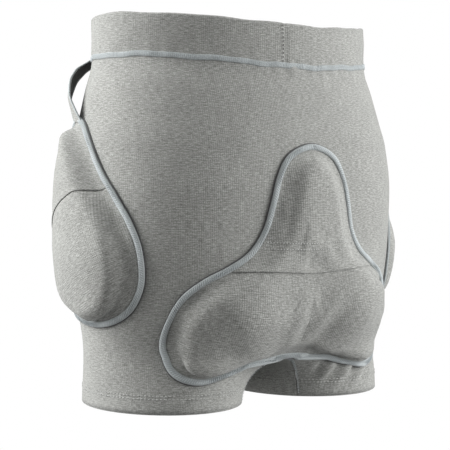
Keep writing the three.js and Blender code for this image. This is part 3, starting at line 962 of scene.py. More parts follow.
# ---- Stitches ------------------------------------------------------------------------------------
@dataclass(frozen=True)
class StitchRow:
    """A row of stitches along a line: sizes in millimetres, slant in degrees from the line."""

    pitch: float
    length: float
    thickness: float
    slant: float = 0.0
    zigzag: bool = False

    def tree(self, material: bpy.types.Material) -> bpy.types.GeometryNodeTree:
        """Geometry Nodes tree that lays a stitch at each step of a line that carries its surface normal.

        Args:
            material: finish of the stitches.

        Returns:
            The node tree.
        """
        group = bpy.data.node_groups.new("stitch_row", "GeometryNodeTree")
        face = group.interface
        face.new_socket("Geometry", in_out="INPUT", socket_type="NodeSocketGeometry")
        for name in ("Pitch", "Length", "Thickness", "Slant", "Zigzag"):
            face.new_socket(name, in_out="INPUT", socket_type="NodeSocketFloat")
        face.new_socket("Geometry", in_out="OUTPUT", socket_type="NodeSocketGeometry")
        nodes, link = group.nodes, group.links.new
        start, end = nodes.new("NodeGroupInput"), nodes.new("NodeGroupOutput")
        curve = nodes.new("GeometryNodeMeshToCurve")
        steps = nodes.new("GeometryNodeResampleCurve")
        steps.mode = "LENGTH"
        normal = nodes.new("GeometryNodeInputNamedAttribute")
        normal.data_type = "FLOAT_VECTOR"
        normal.inputs["Name"].default_value = "up"
        tangent = nodes.new("GeometryNodeInputTangent")
        stand = nodes.new("FunctionNodeAxesToRotation")
        stand.primary_axis, stand.secondary_axis = "Z", "X"
        parity = nodes.new("ShaderNodeMath")
        parity.operation = "MODULO"
        parity.inputs[1].default_value = 2.0
        flip = nodes.new("ShaderNodeMath")
        flip.operation = "MULTIPLY"
        signed = nodes.new("ShaderNodeMath")
        signed.operation = "MULTIPLY_ADD"
        signed.inputs[1].default_value, signed.inputs[2].default_value = -2.0, 1.0
        angle = nodes.new("ShaderNodeMath")
        angle.operation = "MULTIPLY"
        turn = nodes.new("FunctionNodeAxisAngleToRotation")
        turn.inputs["Axis"].default_value = (0, 0, 1)
        rotate = nodes.new("FunctionNodeRotateRotation")
        rotate.rotation_space = "LOCAL"
        number = nodes.new("GeometryNodeInputIndex")
        ball = nodes.new("GeometryNodeMeshUVSphere")
        ball.inputs["Segments"].default_value = 6
        ball.inputs["Rings"].default_value = 4
        ball.inputs["Radius"].default_value = 0.5
        size = nodes.new("ShaderNodeCombineXYZ")
        lay = nodes.new("GeometryNodeInstanceOnPoints")
        real = nodes.new("GeometryNodeRealizeInstances")
        paint = nodes.new("GeometryNodeSetMaterial")
        paint.inputs["Material"].default_value = material
        link(start.outputs["Geometry"], curve.inputs["Mesh"])
        link(curve.outputs[0], steps.inputs["Curve"])
        link(start.outputs["Pitch"], steps.inputs["Length"])
        link(normal.outputs["Attribute"], stand.inputs["Primary Axis"])
        link(tangent.outputs[0], stand.inputs["Secondary Axis"])
        link(number.outputs[0], parity.inputs[0])
        link(parity.outputs[0], flip.inputs[0])
        link(start.outputs["Zigzag"], flip.inputs[1])
        link(flip.outputs[0], signed.inputs[0])
        link(signed.outputs[0], angle.inputs[0])
        link(start.outputs["Slant"], angle.inputs[1])
        link(angle.outputs[0], turn.inputs["Angle"])
        link(stand.outputs[0], rotate.inputs["Rotation"])
        link(turn.outputs[0], rotate.inputs["Rotate By"])
        link(start.outputs["Length"], size.inputs["X"])
        link(start.outputs["Thickness"], size.inputs["Y"])
        link(start.outputs["Thickness"], size.inputs["Z"])
        link(steps.outputs[0], lay.inputs["Points"])
        link(ball.outputs[0], lay.inputs["Instance"])
        link(rotate.outputs[0], lay.inputs["Rotation"])
        link(size.outputs[0], lay.inputs["Scale"])
        link(lay.outputs[0], real.inputs[0])
        link(real.outputs[0], paint.inputs["Geometry"])
        link(paint.outputs[0], end.inputs["Geometry"])
        return group

    def sew(self, name: str, lines: Sequence[tuple[Array, Array, bool]], material: bpy.types.Material
            ) -> bpy.types.Object:
        """Sews stitches along lines.

        Args:
            name: object name.
            lines: for each line its points in millimetres, its surface normals, and whether it closes.
            material: the thread's finish.

        Returns:
            A plain mesh object with every stitch in it.
        """
        points, normals, edges = [], [], []
        for line, up, closed in lines:
            first, count = sum(map(len, points)), len(line)
            points.append(line)
            normals.append(up)
            edges += [(first + k, first + k + 1) for k in range(count - 1)]
            edges += [(first + count - 1, first)] if closed else []
        mesh = bpy.data.meshes.new(name + "_line")
        mesh.from_pydata((np.concatenate(points) * MM).tolist(), edges, [])
        attribute = mesh.attributes.new("up", "FLOAT_VECTOR", "POINT")
        attribute.data.foreach_set("vector", np.concatenate(normals).astype(np.float32).ravel())
        line_object = bpy.data.objects.new(name + "_line", mesh)
        bpy.context.scene.collection.objects.link(line_object)
        modifier = line_object.modifiers.new("stitches", "NODES")
        modifier.node_group = self.tree(material)
        values = {"Pitch": self.pitch * MM, "Length": self.length * MM, "Thickness": self.thickness * MM,
                  "Slant": math.radians(self.slant), "Zigzag": float(self.zigzag)}
        for item in modifier.node_group.interface.items_tree:
            if item.in_out == "INPUT" and item.name in values:
                modifier[item.identifier] = values[item.name]
        graph = bpy.context.evaluated_depsgraph_get()
        stitched = bpy.data.meshes.new_from_object(line_object.evaluated_get(graph))
        stitched.name = name
        group = modifier.node_group
        bpy.data.objects.remove(line_object)
        bpy.data.meshes.remove(mesh)
        bpy.data.node_groups.remove(group)
        obj = bpy.data.objects.new(name, stitched)
        bpy.context.scene.collection.objects.link(obj)
        stitched.polygons.foreach_set("use_smooth", np.full(len(stitched.polygons), True))
        if "cloth" not in stitched.uv_layers:
            stitched.uv_layers.new(name="cloth")
        dress(obj, material)
        return obj


# ---- Cloth simulation ----------------------------------------------------------------------------
@dataclass(frozen=True)
class ClothPass:
    """A short run of Blender's cloth on an open sheet whose edge is sewn down."""

    pressure: float = 3.0
    slack: float = 0.006
    frames: int = 18
    cap_mm: float = 1.2
    sink_mm: float = 0.35
    smoothing: int = 14

    def settle(self, points: Array, faces: Sequence[Sequence[int]], pinned: Array, outward: Array) -> Array:
        """Lets the sheet settle.

        Args:
            points: N x 3 points in millimetres.
            faces: its faces.
            pinned: N booleans, true where the sheet is sewn down.
            outward: N x 3 rough directions away from what lies under the sheet.

        Returns:
            The settled points, none sunk into what lies under the sheet.
        """
        sheet = mesh_object("cloth_pass", points, faces)
        normals = np.empty(len(points) * 3)
        sheet.data.vertices.foreach_get("normal", normals)
        normals = normals.reshape(-1, 3)
        normals = normals * np.where(np.sum(normals * outward, axis=1, keepdims=True) < 0, -1.0, 1.0)
        group = sheet.vertex_groups.new(name="sewn")
        group.add(np.flatnonzero(pinned).tolist(), 1.0, "REPLACE")
        cloth = sheet.modifiers.new("cloth", "CLOTH")
        settings = cloth.settings
        settings.quality = 6
        settings.mass = 0.2
        settings.tension_stiffness = 12
        settings.compression_stiffness = 12
        settings.shear_stiffness = 4
        settings.bending_stiffness = 0.3
        settings.use_pressure = True
        settings.uniform_pressure_force = self.pressure
        settings.shrink_min = -self.slack
        settings.vertex_group_mass = "sewn"
        settings.effector_weights.gravity = 0
        cloth.collision_settings.use_collision = False
        cloth.point_cache.frame_start = 1
        cloth.point_cache.frame_end = self.frames
        scene = bpy.context.scene
        for step in range(1, self.frames + 1):
            scene.frame_set(step)
        graph = bpy.context.evaluated_depsgraph_get()
        result = sheet.evaluated_get(graph)
        settled = np.empty(len(points) * 3)
        result.data.vertices.foreach_get("co", settled)
        settled = settled.reshape(-1, 3) / MM
        edges = np.empty(len(sheet.data.edges) * 2, dtype=int)
        sheet.data.edges.foreach_get("vertices", edges)
        mesh = sheet.data
        bpy.data.objects.remove(sheet)
        bpy.data.meshes.remove(mesh)
        scene.frame_set(1)
        move = settled - points
        if not np.isfinite(move).all():
            LOG.warning("cloth pass gave no finite result and was left out")
            return points
        ends = edges.reshape(-1, 2)
        both_ways = np.concatenate([ends, ends[:, ::-1]])
        degree = np.maximum(np.bincount(both_ways[:, 0], minlength=len(points)), 1)[:, None]
        for _ in range(self.smoothing):
            around = np.zeros_like(move)
            np.add.at(around, both_ways[:, 0], move[both_ways[:, 1]])
            move = np.where(pinned[:, None], 0.0, (move + around / degree) / 2)
        rise = np.sum(move * normals, axis=1, keepdims=True)
        aside = move - rise * normals
        reach = np.linalg.norm(aside, axis=1, keepdims=True)
        aside = aside * np.minimum(1, 0.5 * self.cap_mm / np.maximum(reach, 1e-9))
        return points + aside + np.clip(rise, -self.sink_mm, self.cap_mm) * normals


# ---- Dressing and attaching pieces ---------------------------------------------------------------
@dataclass(frozen=True)
class Belonging:
    """What a finished piece belongs to: its finish, its slot, its body and the CAD nodes it stands for."""

    material: bpy.types.Material
    slot: str
    body: str = ROOT_BODY
    nodes: tuple[str, ...] = ()

    def apply(self, obj: bpy.types.Object) -> bpy.types.Object:
        """Dresses the piece, hangs it under its body's empty and hides the CAD nodes that it stands for.

        Args:
            obj: the finished piece.

        Returns:
            The same object.
        """
        if obj.data.materials[:] != [self.material]:
            dress(obj, self.material)
        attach(obj, self.body)
        if self.nodes:
            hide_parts(*self.nodes)
        LOG.info("%s: %d faces on %s", obj.name, len(obj.data.polygons), self.body)
        return obj


def declare_sheet(obj: bpy.types.Object, width: float, held: Held,
                  stretch: float = 1.1) -> None:
    """Works out a sheet's area before its stretch as worn, and keeps nothing; the width it was cut to, in
    millimetres, and how it is held are not used.
    """
    area = surface_area(obj) / stretch


# ---- Body ----------------------------------------------------------------------------------------
@dataclass
class BodyPanels:
    """Knit panels of the shorts: wrap-round panel, front pouch panel and crotch gusset."""

    cloth: ClothMap
    finish: Wardrobe
    fabric: float = 1.1
    base_z: float = 0.9
    seam_gap: float = 0.3
    pouch: float = 0.2
    pouch_run: float = 150.0
    columns: int = 120
    leg_rows: int = 16
    torso_rows: int = 88

    def pouch_share(self, z: Array) -> Array:
        """Front panel's share of the half girth."""
        shape = self.cloth.shape
        return self.pouch * smooth(shape.crotch_z, shape.crotch_z + self.pouch_run, z)

    def row_heights(self) -> tuple[Array, Array]:
        """Heights of the rows on the legs and on the torso."""
        shape = self.cloth.shape
        legs = blend(self.base_z, shape.crotch_z, np.sin(np.linspace(0, math.pi / 2, self.leg_rows + 1)))
        torso = blend(shape.crotch_z, shape.seam_z - self.seam_gap,
                      np.linspace(0, 1, self.torso_rows + 1) ** 1.15)
        return legs[:-1], torso

    def back_panel(self) -> bpy.types.Object:
        """Back, sides and leg fronts in one piece."""
        legs, torso = self.row_heights()
        z = np.concatenate([legs, torso])[:, None]
        gap = self.seam_gap / np.interp(z, self.cloth.z, self.cloth.half_girth)
        on_leg = z < self.cloth.shape.crotch_z - 1e-6
        first = np.where(on_leg, gap, self.pouch_share(z) + gap)
        last = np.where(on_leg, 1 - gap, 1.0)
        t = blend(first, last, np.linspace(0, 1, self.columns + 1)[None, :])
        shape = t.shape
        heights = np.broadcast_to(z, shape)
        left = np.arange(t.size).reshape(shape)
        right = left + t.size
        right[len(legs):, -1] = left[len(legs):, -1]
        q = np.concatenate([(1 - t).ravel(), (t - 1).ravel()])
        height = np.concatenate([heights.ravel(), heights.ravel()])
        faces = np.concatenate([grid_faces(left), grid_faces(right[:, ::-1])])
        return self.sheet("knit_back_panel", q, height, faces)

    def front_panel(self) -> bpy.types.Object:
        """Front pouch panel, from the waist down to the gusset."""
        torso = self.row_heights()[1][3:, None]
        gap = self.seam_gap / np.interp(torso, self.cloth.z, self.cloth.half_girth)
        half = self.pouch_share(torso) - gap
        t = half * np.linspace(-1, 1, 73)[None, :]
        q = np.where(t < 0, -1 + np.abs(t), 1 - np.abs(t))
        faces = grid_faces(np.arange(t.size).reshape(t.shape))
        height = np.broadcast_to(torso, t.shape).ravel()
        across = t.ravel() * np.interp(height, self.cloth.z, self.cloth.half_girth)
        return self.sheet("knit_front_panel", q.ravel(), height, faces, across)

    def sheet(self, name: str, q: Array, z: Array, faces: Array, across: Optional[Array] = None
              ) -> bpy.types.Object:
        """Sheet of knit on the worn surface.

        Args:
            name: object name.
            q: shares of the half girth.
            z: heights.
            faces: its faces.
            across: cloth coordinate along the girth, from the centre back if not given.

        Returns:
            The object.
        """
        outer = self.cloth.place(q, z, np.zeros_like(q))
        inner = self.cloth.place(q, z, np.full_like(q, -self.fabric))
        uv = np.stack([self.cloth.along(q, z) if across is None else across, z], -1)
        return closed_sheet(name, outer, inner, faces, uv)

    def gusset_place(self, s: Array, v: Array, side: Array, lift: float) -> Array:
        """Places on the inner thighs: s from back to front, v from the hem to the crotch.

        Args:
            s: places from front to back.
            v: places from the middle to the side.
            side: sign of the side.
            lift: how far inwards.

        Returns:
            Points.
        """
        shape = self.cloth.shape
        angle = shape.leg_seam + s * 2 * (math.pi - shape.leg_seam)
        up, out = np.sin(math.pi / 2 * v), np.cos(math.pi / 2 * v)
        top = shape.crotch_z + shape.crotch_rise * np.sin(math.pi * s)
        z = self.base_z + (top - self.base_z) * up
        leg_share = np.sqrt(np.maximum(0, 1 - np.clip(z / shape.crotch_z, 0, 1) ** 2))
        back, front = shape.torso(np.ones_like(z), z)[1], shape.torso(np.zeros_like(z), z)[1]
        leg_x = shape.leg_x + shape.leg_width * np.cos(angle)
        leg_y = 5 + shape.leg_depth * np.sin(angle)
        share = blend(leg_share, out, np.sin(math.pi * s))
        x = side * (leg_x * share + lift * out)
        return np.stack([x, blend(blend(back, front, s), leg_y, share) + shape.middle_y, z + lift * up], -1)

    def gusset(self) -> bpy.types.Object:
        """Inner thighs and crotch, one piece from hem to hem."""
        end = 1.8 / (2 * self.cloth.shape.leg_depth)
        s = np.linspace(end, 1 - end, 49)[:, None]
        j = np.linspace(-1, 1, 49)[None, :]
        s, j = np.broadcast_arrays(s, j)
        side = np.where(j < 0, 1.0, -1.0)
        v = 1 - np.abs(j)
        outer = self.gusset_place(s, v, side, 0.0)
        inner = self.gusset_place(s, v, side, self.fabric)
        faces = grid_faces(np.arange(s.size).reshape(s.shape))
        return closed_sheet("knit_crotch_gusset", outer, inner, faces, np.stack([s * 120, j * 60], -1))

    def seam_stitches(self) -> bpy.types.Object:
        """Flat seams beside the pouch and along the gusset."""
        shape = self.cloth.shape
        lines = []
        z = np.linspace(shape.crotch_z + 16, shape.seam_z - 4, 160)
        for side in Side:
            q = side.value * (1 - self.pouch_share(z))
            lines.append((self.cloth.place(q, z, np.full_like(z, 0.45)), shape.normal(q, z), False))
            low = blend(4.0, shape.crotch_z - 0.5, np.sin(np.linspace(0, math.pi / 2, 40)))
            for t in (0.002, 0.998):
                q = np.full_like(low, side.value * (1 - t))
                lines.append((self.cloth.place(q, low, np.full_like(low, 0.5)), shape.normal(q, low), False))
        return StitchRow(1.5, 4.2, 0.5, 74, True).sew("panel_seam_stitches", lines, self.finish.thread)

    def build(self) -> None:
        knit = self.finish.knit
        panels = [(self.back_panel(), "back_panel", 840.0), (self.front_panel(), "front_panel", 160.0),
                  (self.gusset(), "crotch_gusset", 110.0)]
        for obj, node, width in panels:
            Belonging(knit, "melange_knit", nodes=(node,)).apply(obj)
            declare_sheet(obj, width, Held.STRETCHED)
        Belonging(self.finish.thread, "seam_thread").apply(self.seam_stitches())


@dataclass
class Waistband:
    """Folded casing with its elastic, the flat seam under it and the seam's stitches."""

    cloth: ClothMap
    finish: Wardrobe
    fabric: float = 1.1
    inner_face: float = 3.9
    join_at: float = 24.0
    seam_width: float = 5.0
    stations: int = 360

    def girth(self) -> Array:
        """Shares q of the stations round the body."""
        return np.linspace(-1, 1, self.stations, endpoint=False)

    def ring(self, name: str, corners: Sequence[tuple[float, float]],
             wave: Callable[[Array, float, float], Array]) -> bpy.types.Object:
        """Sweeps corners of lift and height round the body.

        Args:
            name: object name.
            corners: lift and height of each corner, in millimetres.
            wave: extra lift and rise at a station for a corner, as two columns.

        Returns:
            The object.
        """
        q = self.girth()
        sections = []
        for lift, z in corners:
            extra = wave(q, lift, z)
            point = self.cloth.shape.base(q, np.full_like(q, z))
            normal = self.cloth.shape.normal(q, np.full_like(q, z))
            normal[:, 2] = 0
            normal /= np.linalg.norm(normal, axis=1, keepdims=True)
            point = point + normal * (lift + extra[:, :1])
            point[:, 2] += extra[:, 1]
            sections.append(point)
        return swept_loop(name, np.stack(sections, 1))

    def casing_wave(self, q: Array, lift: float, z: float) -> Array:
        """Waviness of the rim and of the outer ply, and the groove of the casing's join.

        Args:
            q: shares of the half girth, from the centre back.
            lift: lift of the corner.
            z: height of the corner.

        Returns:
            Extra lift and rise, as two columns.
        """
        d = self.cloth.along(q, np.full_like(q, z))
        rise = 0.55 * np.sin(d / 31 + 0.7) + 0.4 * np.sin(d / 13.5) + 0.25 * np.sin(d / 7.3 + 2)
        high = float(smooth(self.cloth.shape.seam_z + 8, self.cloth.shape.rim_z, z))
        outer = 1.0 if lift > -0.6 else 0.0
        swell = outer * (0.35 + 0.3 * np.sin(d / 23 + z / 9) + 0.15 * np.sin(d / 8 + z / 5))
        swell = swell * float(bell(z, self.cloth.shape.rim_z - 19, 17))
        groove = -0.7 * bell(d, self.join_at, 2.0) * outer
        low = float(bell(z, self.cloth.shape.seam_z + 2, 5)) * outer
        pucker = 0.3 * np.sin(d / 2.7 + 1.4 * np.sin(d / 19)) * low
        return np.stack([swell + groove + pucker, rise * high - 0.5 * bell(d, self.join_at, 2) * high], -1)

    def casing(self) -> bpy.types.Object:
        """Folded casing, open along its lower edge, round the elastic."""
        low, rim = self.cloth.shape.seam_z + 0.2, self.cloth.shape.rim_z
        heights = np.linspace(low, rim - 2.2, 19)
        fold = [(-2.2 + 2.2 * math.cos(a), rim - 2.2 + 2.2 * math.sin(a)) for a in np.linspace(0.2, 1.4, 5)]
        back = self.inner_face + self.fabric
        turned = [(-back + 1.4 - 1.4 * math.cos(a), rim - 1.4 + 1.4 * math.sin(a)) for a in (1.3, 0.8, 0.3)]
        inner_top = rim - 1.2
        corners = [(0.0, z) for z in heights] + fold + turned
        corners += [(-back, z) for z in np.linspace(rim - 3, low, 7)]
        corners += [(-self.inner_face, low), (-self.inner_face, inner_top), (-self.fabric, inner_top)]
        corners += [(-self.fabric, low)]
        return self.ring("knit_waistband_casing", corners, self.casing_wave)

    def seam_ribbon(self) -> bpy.types.Object:
        """Flat ribbon of thread over the waist seam."""
        half, z = self.seam_width / 2, self.cloth.shape.seam_z
        corners = [(0.2, -half), (0.4, -half), (0.7, -half + 0.8), (0.75, 0), (0.7, half - 0.8), (0.4, half),
                   (0.2, half)]
        return self.ring("waist_seam_ribbon", [(lift, z + dz) for lift, dz in corners], self.ribbon_wave)

    def ribbon_wave(self, q: Array, lift: float, z: float) -> Array:
        """Puckers of the ribbon, drawn in where the band's join is.

        Args:
            q: shares of the half girth, from the centre back.
            lift: lift of the corner.
            z: height of the corner.

        Returns:
            Extra lift and rise, as two columns.
        """
        d = self.cloth.along(q, np.full_like(q, z))
        pucker = 0.28 * np.sin(d / 2.7 + 1.4 * np.sin(d / 19))
        sway = 0.5 * np.sin(d / 11) + 0.3 * np.sin(d / 5.1 + 1)
        return np.stack([pucker + 0.1, sway], -1)

    def seam_line(self, lift: float, dz: float) -> tuple[Array, Array, bool]:
        """Line round the waist seam for stitches.

        Args:
            lift: lift off the ribbon.
            dz: rise from the middle of the seam.

        Returns:
            Points, outward directions, and whether the line closes.
        """
        q = np.linspace(-1, 1, 900, endpoint=False)
        z = np.full_like(q, self.cloth.shape.seam_z + dz)
        normal = self.cloth.shape.normal(q, z)
        extra = self.ribbon_wave(q, lift, float(z[0]))
        point = self.cloth.shape.base(q, z) + normal * (lift + extra[:, :1])
        point[:, 2] += extra[:, 1]
        return point, normal, True

    def join_line(self) -> tuple[Array, Array, bool]:
        """Line down the casing's join."""
        z = np.linspace(self.cloth.shape.seam_z + 4, self.cloth.shape.rim_z - 2, 40)
        q = self.cloth.q_from_back(np.full_like(z, self.join_at), z)
        normal = self.cloth.shape.normal(q, z)
        wave = np.array([self.casing_wave(q[k:k + 1], 0.0, float(z[k]))[0, 0] for k in range(len(z))])
        return self.cloth.shape.base(q, z) + normal * (wave[:, None] + 0.8), normal, False

    def build(self) -> None:
        casing = Belonging(self.finish.knit, "melange_knit", nodes=("waistband_casing",)).apply(self.casing())
        declare_sheet(casing, 800.0, Held.FOLDED)
        thread = self.finish.thread
        Belonging(self.finish.tape, "seam_thread", nodes=("waist_seam_thread",)).apply(self.seam_ribbon())
        seam = StitchRow(1.75, 4.8, 0.62, 80, True)
        stitches = seam.sew("waist_seam_stitches", [self.seam_line(0.75, 0)], thread)
        Belonging(thread, "seam_thread").apply(stitches)
        dark = self.finish.dark_thread
        join = StitchRow(3.4, 2.5, 0.75).sew("band_join_stitches", [self.join_line()], dark)
        Belonging(dark, "melange_knit").apply(join)
        elastic = bpy.data.objects.get("waist_elastic")
        if elastic is not None:
            dress(elastic, self.finish.elastic)


@dataclass
class LegHems:
    """Turned-up hems with their two rows of stitches."""

    panels: BodyPanels
    finish: Wardrobe
    height: float = 18.0
    ease: float = 0.5
    rows: tuple[float, float] = (14.4, 17.2)

    def stations(self, side: Side, lift: float, z: float) -> Array:
        """Places round one leg opening, over its outside and back over the inner thigh.

        Args:
            side: side of the body.
            lift: lift off the leg.
            z: height.

        Returns:
            Points round the leg.
        """
        cloth = self.panels.cloth
        t = np.linspace(0.002, 0.998, 130)
        height = np.full_like(t, z)
        outside = cloth.place(side.value * (1 - t), height, np.full_like(t, lift))
        end = 1.8 / (2 * cloth.shape.leg_depth)
        s = np.linspace(end, 1 - end, 40)
        base = self.panels.base_z
        top = cloth.shape.crotch_z + cloth.shape.crotch_rise * np.sin(math.pi * s)
        v = np.arcsin(np.clip((z - base) / (top - base), 0, 1)) / (math.pi / 2)
        inside = self.panels.gusset_place(s, v, np.full_like(s, side.value), -lift)
        ring = np.concatenate([outside, inside])
        ring[:, 2] = z
        return ring

    def hem(self, side: Side) -> bpy.types.Object:
        """Fold and inner ply of one hem.

        Args:
            side: side of the body.

        Returns:
            The object.
        """
        fabric, outer = self.panels.fabric, self.panels.fabric + self.ease
        inner = outer + fabric
        middle = inner / 2
        under = [(-middle + middle * math.cos(a), 0.9 - 0.9 * math.sin(a)) for a in np.linspace(0.15, 3.0, 7)]
        corners = under + [(-inner, z) for z in (4, 9, 14, self.height - 0.4)] + [(-inner + 0.4, self.height)]
        corners += [(-outer - 0.3, self.height), (-outer, self.height - 0.4), (-outer, 14), (-outer, 9)]
        corners += [(-outer, 4), (-outer, 1.2), (0.0, 0.85)]
        sections = np.stack([self.stations(side, lift, z) for lift, z in corners], 1)
        return swept_loop(f"knit_leg_hem_{side.label}", sections)

    def stitch_line(self, side: Side, z: float) -> tuple[Array, Array, bool]:
        """Closed line of stitches round a leg.

        Args:
            side: side of the body.
            z: height of the row.

        Returns:
            Points, outward directions, and whether the line closes.
        """
        line = self.stations(side, 0.25, z)
        out = self.stations(side, 1.12, z) - line
        return line, out / np.linalg.norm(out, axis=1, keepdims=True), True

    def build(self) -> None:
        """Makes both hems and their rows of stitches."""
        for side in Side:
            node = f"leg_hem_{side.label}"
            hem = Belonging(self.finish.knit, "melange_knit", nodes=(node,)).apply(self.hem(side))
            declare_sheet(hem, 470.0, Held.FOLDED)
            lines = [self.stitch_line(side, z) for z in self.rows]
            thread = self.finish.grey_thread
            row = StitchRow(3.6, 2.9, 0.75).sew(f"hem_stitches_{side.label}", lines, thread)
            Belonging(thread, "melange_knit").apply(row)


# ---- Pads ----------------------------------------------------------------------------------------
@dataclass
class Pad:
    """A foam insert in a bound pocket: everything that the pocket's pieces share.

    Places are flat cloth coordinates: millimetres along the girth, and height. Lifts are off the body.
    """

    label: str
    chart: Chart
    outline: Array
    mouth: tuple[int, int]
    margin_end: float
    margin_side: float
    margin_front: float
    foam_height: float
    seat: float
    arch: float = 0.0
    pull: float = 0.05
    thinning: tuple[float, float, float] = (0.0, 1.0, 0.0)
    thin_ends: bool = False
    shoulder: float = 0.95
    droop: float = 0.0
    spared: float = 0.0
    binding: tuple[float, float, float] = (-0.4, 5.1, 3.0)
    edge_lift: float = 1.9
    fabric: float = 1.1
    cell: float = 2.0
    normals: Array = field(init=False)
    foam: Array = field(init=False)
    middle: Array = field(init=False)

    def __post_init__(self) -> None:
        """Works out the insert's outline and the cover's height over the pad."""
        self.normals = outward_normals(self.outline)
        rear = self.normals[:, :1] > 0
        side = np.where(rear, self.margin_side, self.margin_front)
        inset = blend(self.margin_end, side, np.abs(self.normals[:, :1]))
        self.foam = self.outline - inset * self.normals
        self.middle = (self.outline[self.mouth[0]] + self.outline[self.mouth[1]]) / 2
        self.solve_cover()

    def ring_share(self, x: Array, z: Array) -> Array:
        """0 at the middle, 1 at the insert's edge.

        Args:
            x: flat places along the girth.
            z: heights, in millimetres.

        Returns:
            The shares.
        """
        run = self.foam - self.middle
        angle = np.arctan2(run[:, 1], run[:, 0])
        order = np.argsort(angle)
        reach = np.hypot(run[:, 0], run[:, 1])[order]
        angle = angle[order]
        here = np.arctan2(z - self.middle[1], x - self.middle[0])
        edge = np.interp(here, np.concatenate([angle[-3:] - 2 * math.pi, angle, angle[:3] + 2 * math.pi]),
                         np.concatenate([reach[-3:], reach, reach[:3]]))
        return np.hypot(x - self.middle[0], z - self.middle[1]) / edge

    def foam_top(self, x: Array, z: Array) -> Array:
        """Height of the insert's top above its seat, and 0 beside it.

        Args:
            x: flat places along the girth.
            z: heights, in millimetres.

        Returns:
            The heights.
        """
        gap = distance_inside(self.foam, x, z)
        shoulder = self.foam_height * self.shoulder
        u = np.clip(gap / shoulder, 0, 1)
        rounded = 3 + (self.foam_height - 3) * np.sqrt(np.clip(1 - (1 - u) ** 2.4, 0, 1))
        crown = 1 - 0.16 * np.clip(self.ring_share(x, z), 0, 1) ** 2
        crown = crown * (1 - self.thinning[2] * smooth(self.thinning[0], self.thinning[1], x))
        if self.thin_ends:
            crown = crown * (1 - 0.38 * smooth(88, 140, np.abs(x)))
        return np.where(gap > 0, rounded * crown, 0)

    def solve_cover(self) -> None:
        """Relaxes a taut membrane over the insert, held down at the bound edge."""
        low, high = self.outline.min(0) - 2 * self.cell, self.outline.max(0) + 2 * self.cell
        self.axis_x = np.arange(low[0], high[0] + self.cell, self.cell)
        self.axis_z = np.arange(low[1], high[1] + self.cell, self.cell)
        x, z = np.meshgrid(self.axis_x, self.axis_z)
        inside = distance_inside(self.outline, x, z) > 0.5
        top = self.seat + self.foam_top(x, z) + 0.9 + self.fabric
        obstacle = np.where(distance_inside(self.foam, x, z) > 0, top, self.edge_lift)
        height = np.where(inside, obstacle, self.edge_lift)
        for _ in range(420):
            mean = (np.roll(height, 1, 0) + np.roll(height, -1, 0) + np.roll(height, 1, 1)
                    + np.roll(height, -1, 1)) / 4
            height = np.where(inside, np.maximum(obstacle, mean - self.pull), self.edge_lift)
        for _ in range(3):
            mean = (np.roll(height, 1, 0) + np.roll(height, -1, 0) + np.roll(height, 1, 1)
                    + np.roll(height, -1, 1)) / 4
            height = np.where(inside, blend(height, mean, 0.6), self.edge_lift)
        self.height = height

    def cover_lift(self, x: Array, z: Array) -> Array:
        """Lift of the cover's outer face.

        Args:
            x: flat places along the girth.
            z: heights, in millimetres.

        Returns:
            The lifts.
        """
        col = np.clip((x - self.axis_x[0]) / self.cell, 0, len(self.axis_x) - 1.001)
        row = np.clip((z - self.axis_z[0]) / self.cell, 0, len(self.axis_z) - 1.001)
        i, j = row.astype(int), col.astype(int)
        u, v = row - i, col - j
        low = blend(self.height[i, j], self.height[i, j + 1], v)
        high = blend(self.height[i + 1, j], self.height[i + 1, j + 1], v)
        return blend(low, high, u)

    def bent(self, x: Array, z: Array) -> tuple[Array, Array]:
        """Moves flat places so that the straight mouth becomes an arch.

        Args:
            x: flat places along the girth.
            z: heights, in millimetres.

        Returns:
            Moved X and Z.
        """
        if not self.arch:
            return x, z
        ends = self.outline[self.mouth[0]] - self.outline[self.mouth[1]]
        half = np.linalg.norm(ends) / 2
        along = ends / (2 * half)
        across = np.array([-along[1], along[0]])
        across = across * (1 if across[1] > 0 else -1)
        px, pz = x - self.middle[0], z - self.middle[1]
        s = (px * along[0] + pz * along[1]) / half
        away = px * across[0] + pz * across[1]
        window = smooth(0, 26, distance_inside(self.outline, x, z))
        move = self.arch * np.clip(1 - ((s - 0.5) / 0.85) ** 2, 0, 1) * window * np.exp(-((away / 42) ** 2))
        return x + across[0] * move, z + across[1] * move

    def on_cover(self, x: Array, z: Array, extra: Array) -> Array:
        """Points on the cover's outer face.

        Args:
            x: flat places along the girth.
            z: heights, in millimetres.
            extra: extra lift.

        Returns:
            Points in millimetres.
        """
        bx, bz = self.bent(x, z)
        lift = self.cover_lift(bx, bz)
        low = float(self.outline[:, 1].min())
        sag = smooth(4, 9, lift) * smooth(low + 45, low + 15, bz)
        if self.spared:
            sag = sag * smooth(self.spared, self.spared + 26, np.abs(bx))
        return self.chart(bx, bz - self.droop * sag, lift + extra)

    def fan(self, first: int, last: int, rings: int) -> tuple[Array, Array]:
        """Flat places of one cover: rings from the middle out to the bound edge.

        Args:
            first: outline sample where the cover begins.
            last: outline sample where it ends, going on round the outline.
            rings: number of rings.

        Returns:
            Rows of x and of z.
        """
        count = len(self.outline)
        steps = (last - first) % count
        edge = self.outline[(first + np.arange(steps + 1)) % count]
        share = np.linspace(0, 1, rings + 1)[:, None]
        middle_x, middle_z = self.middle
        return blend(middle_x, edge[None, :, 0], share), blend(middle_z, edge[None, :, 1], share)

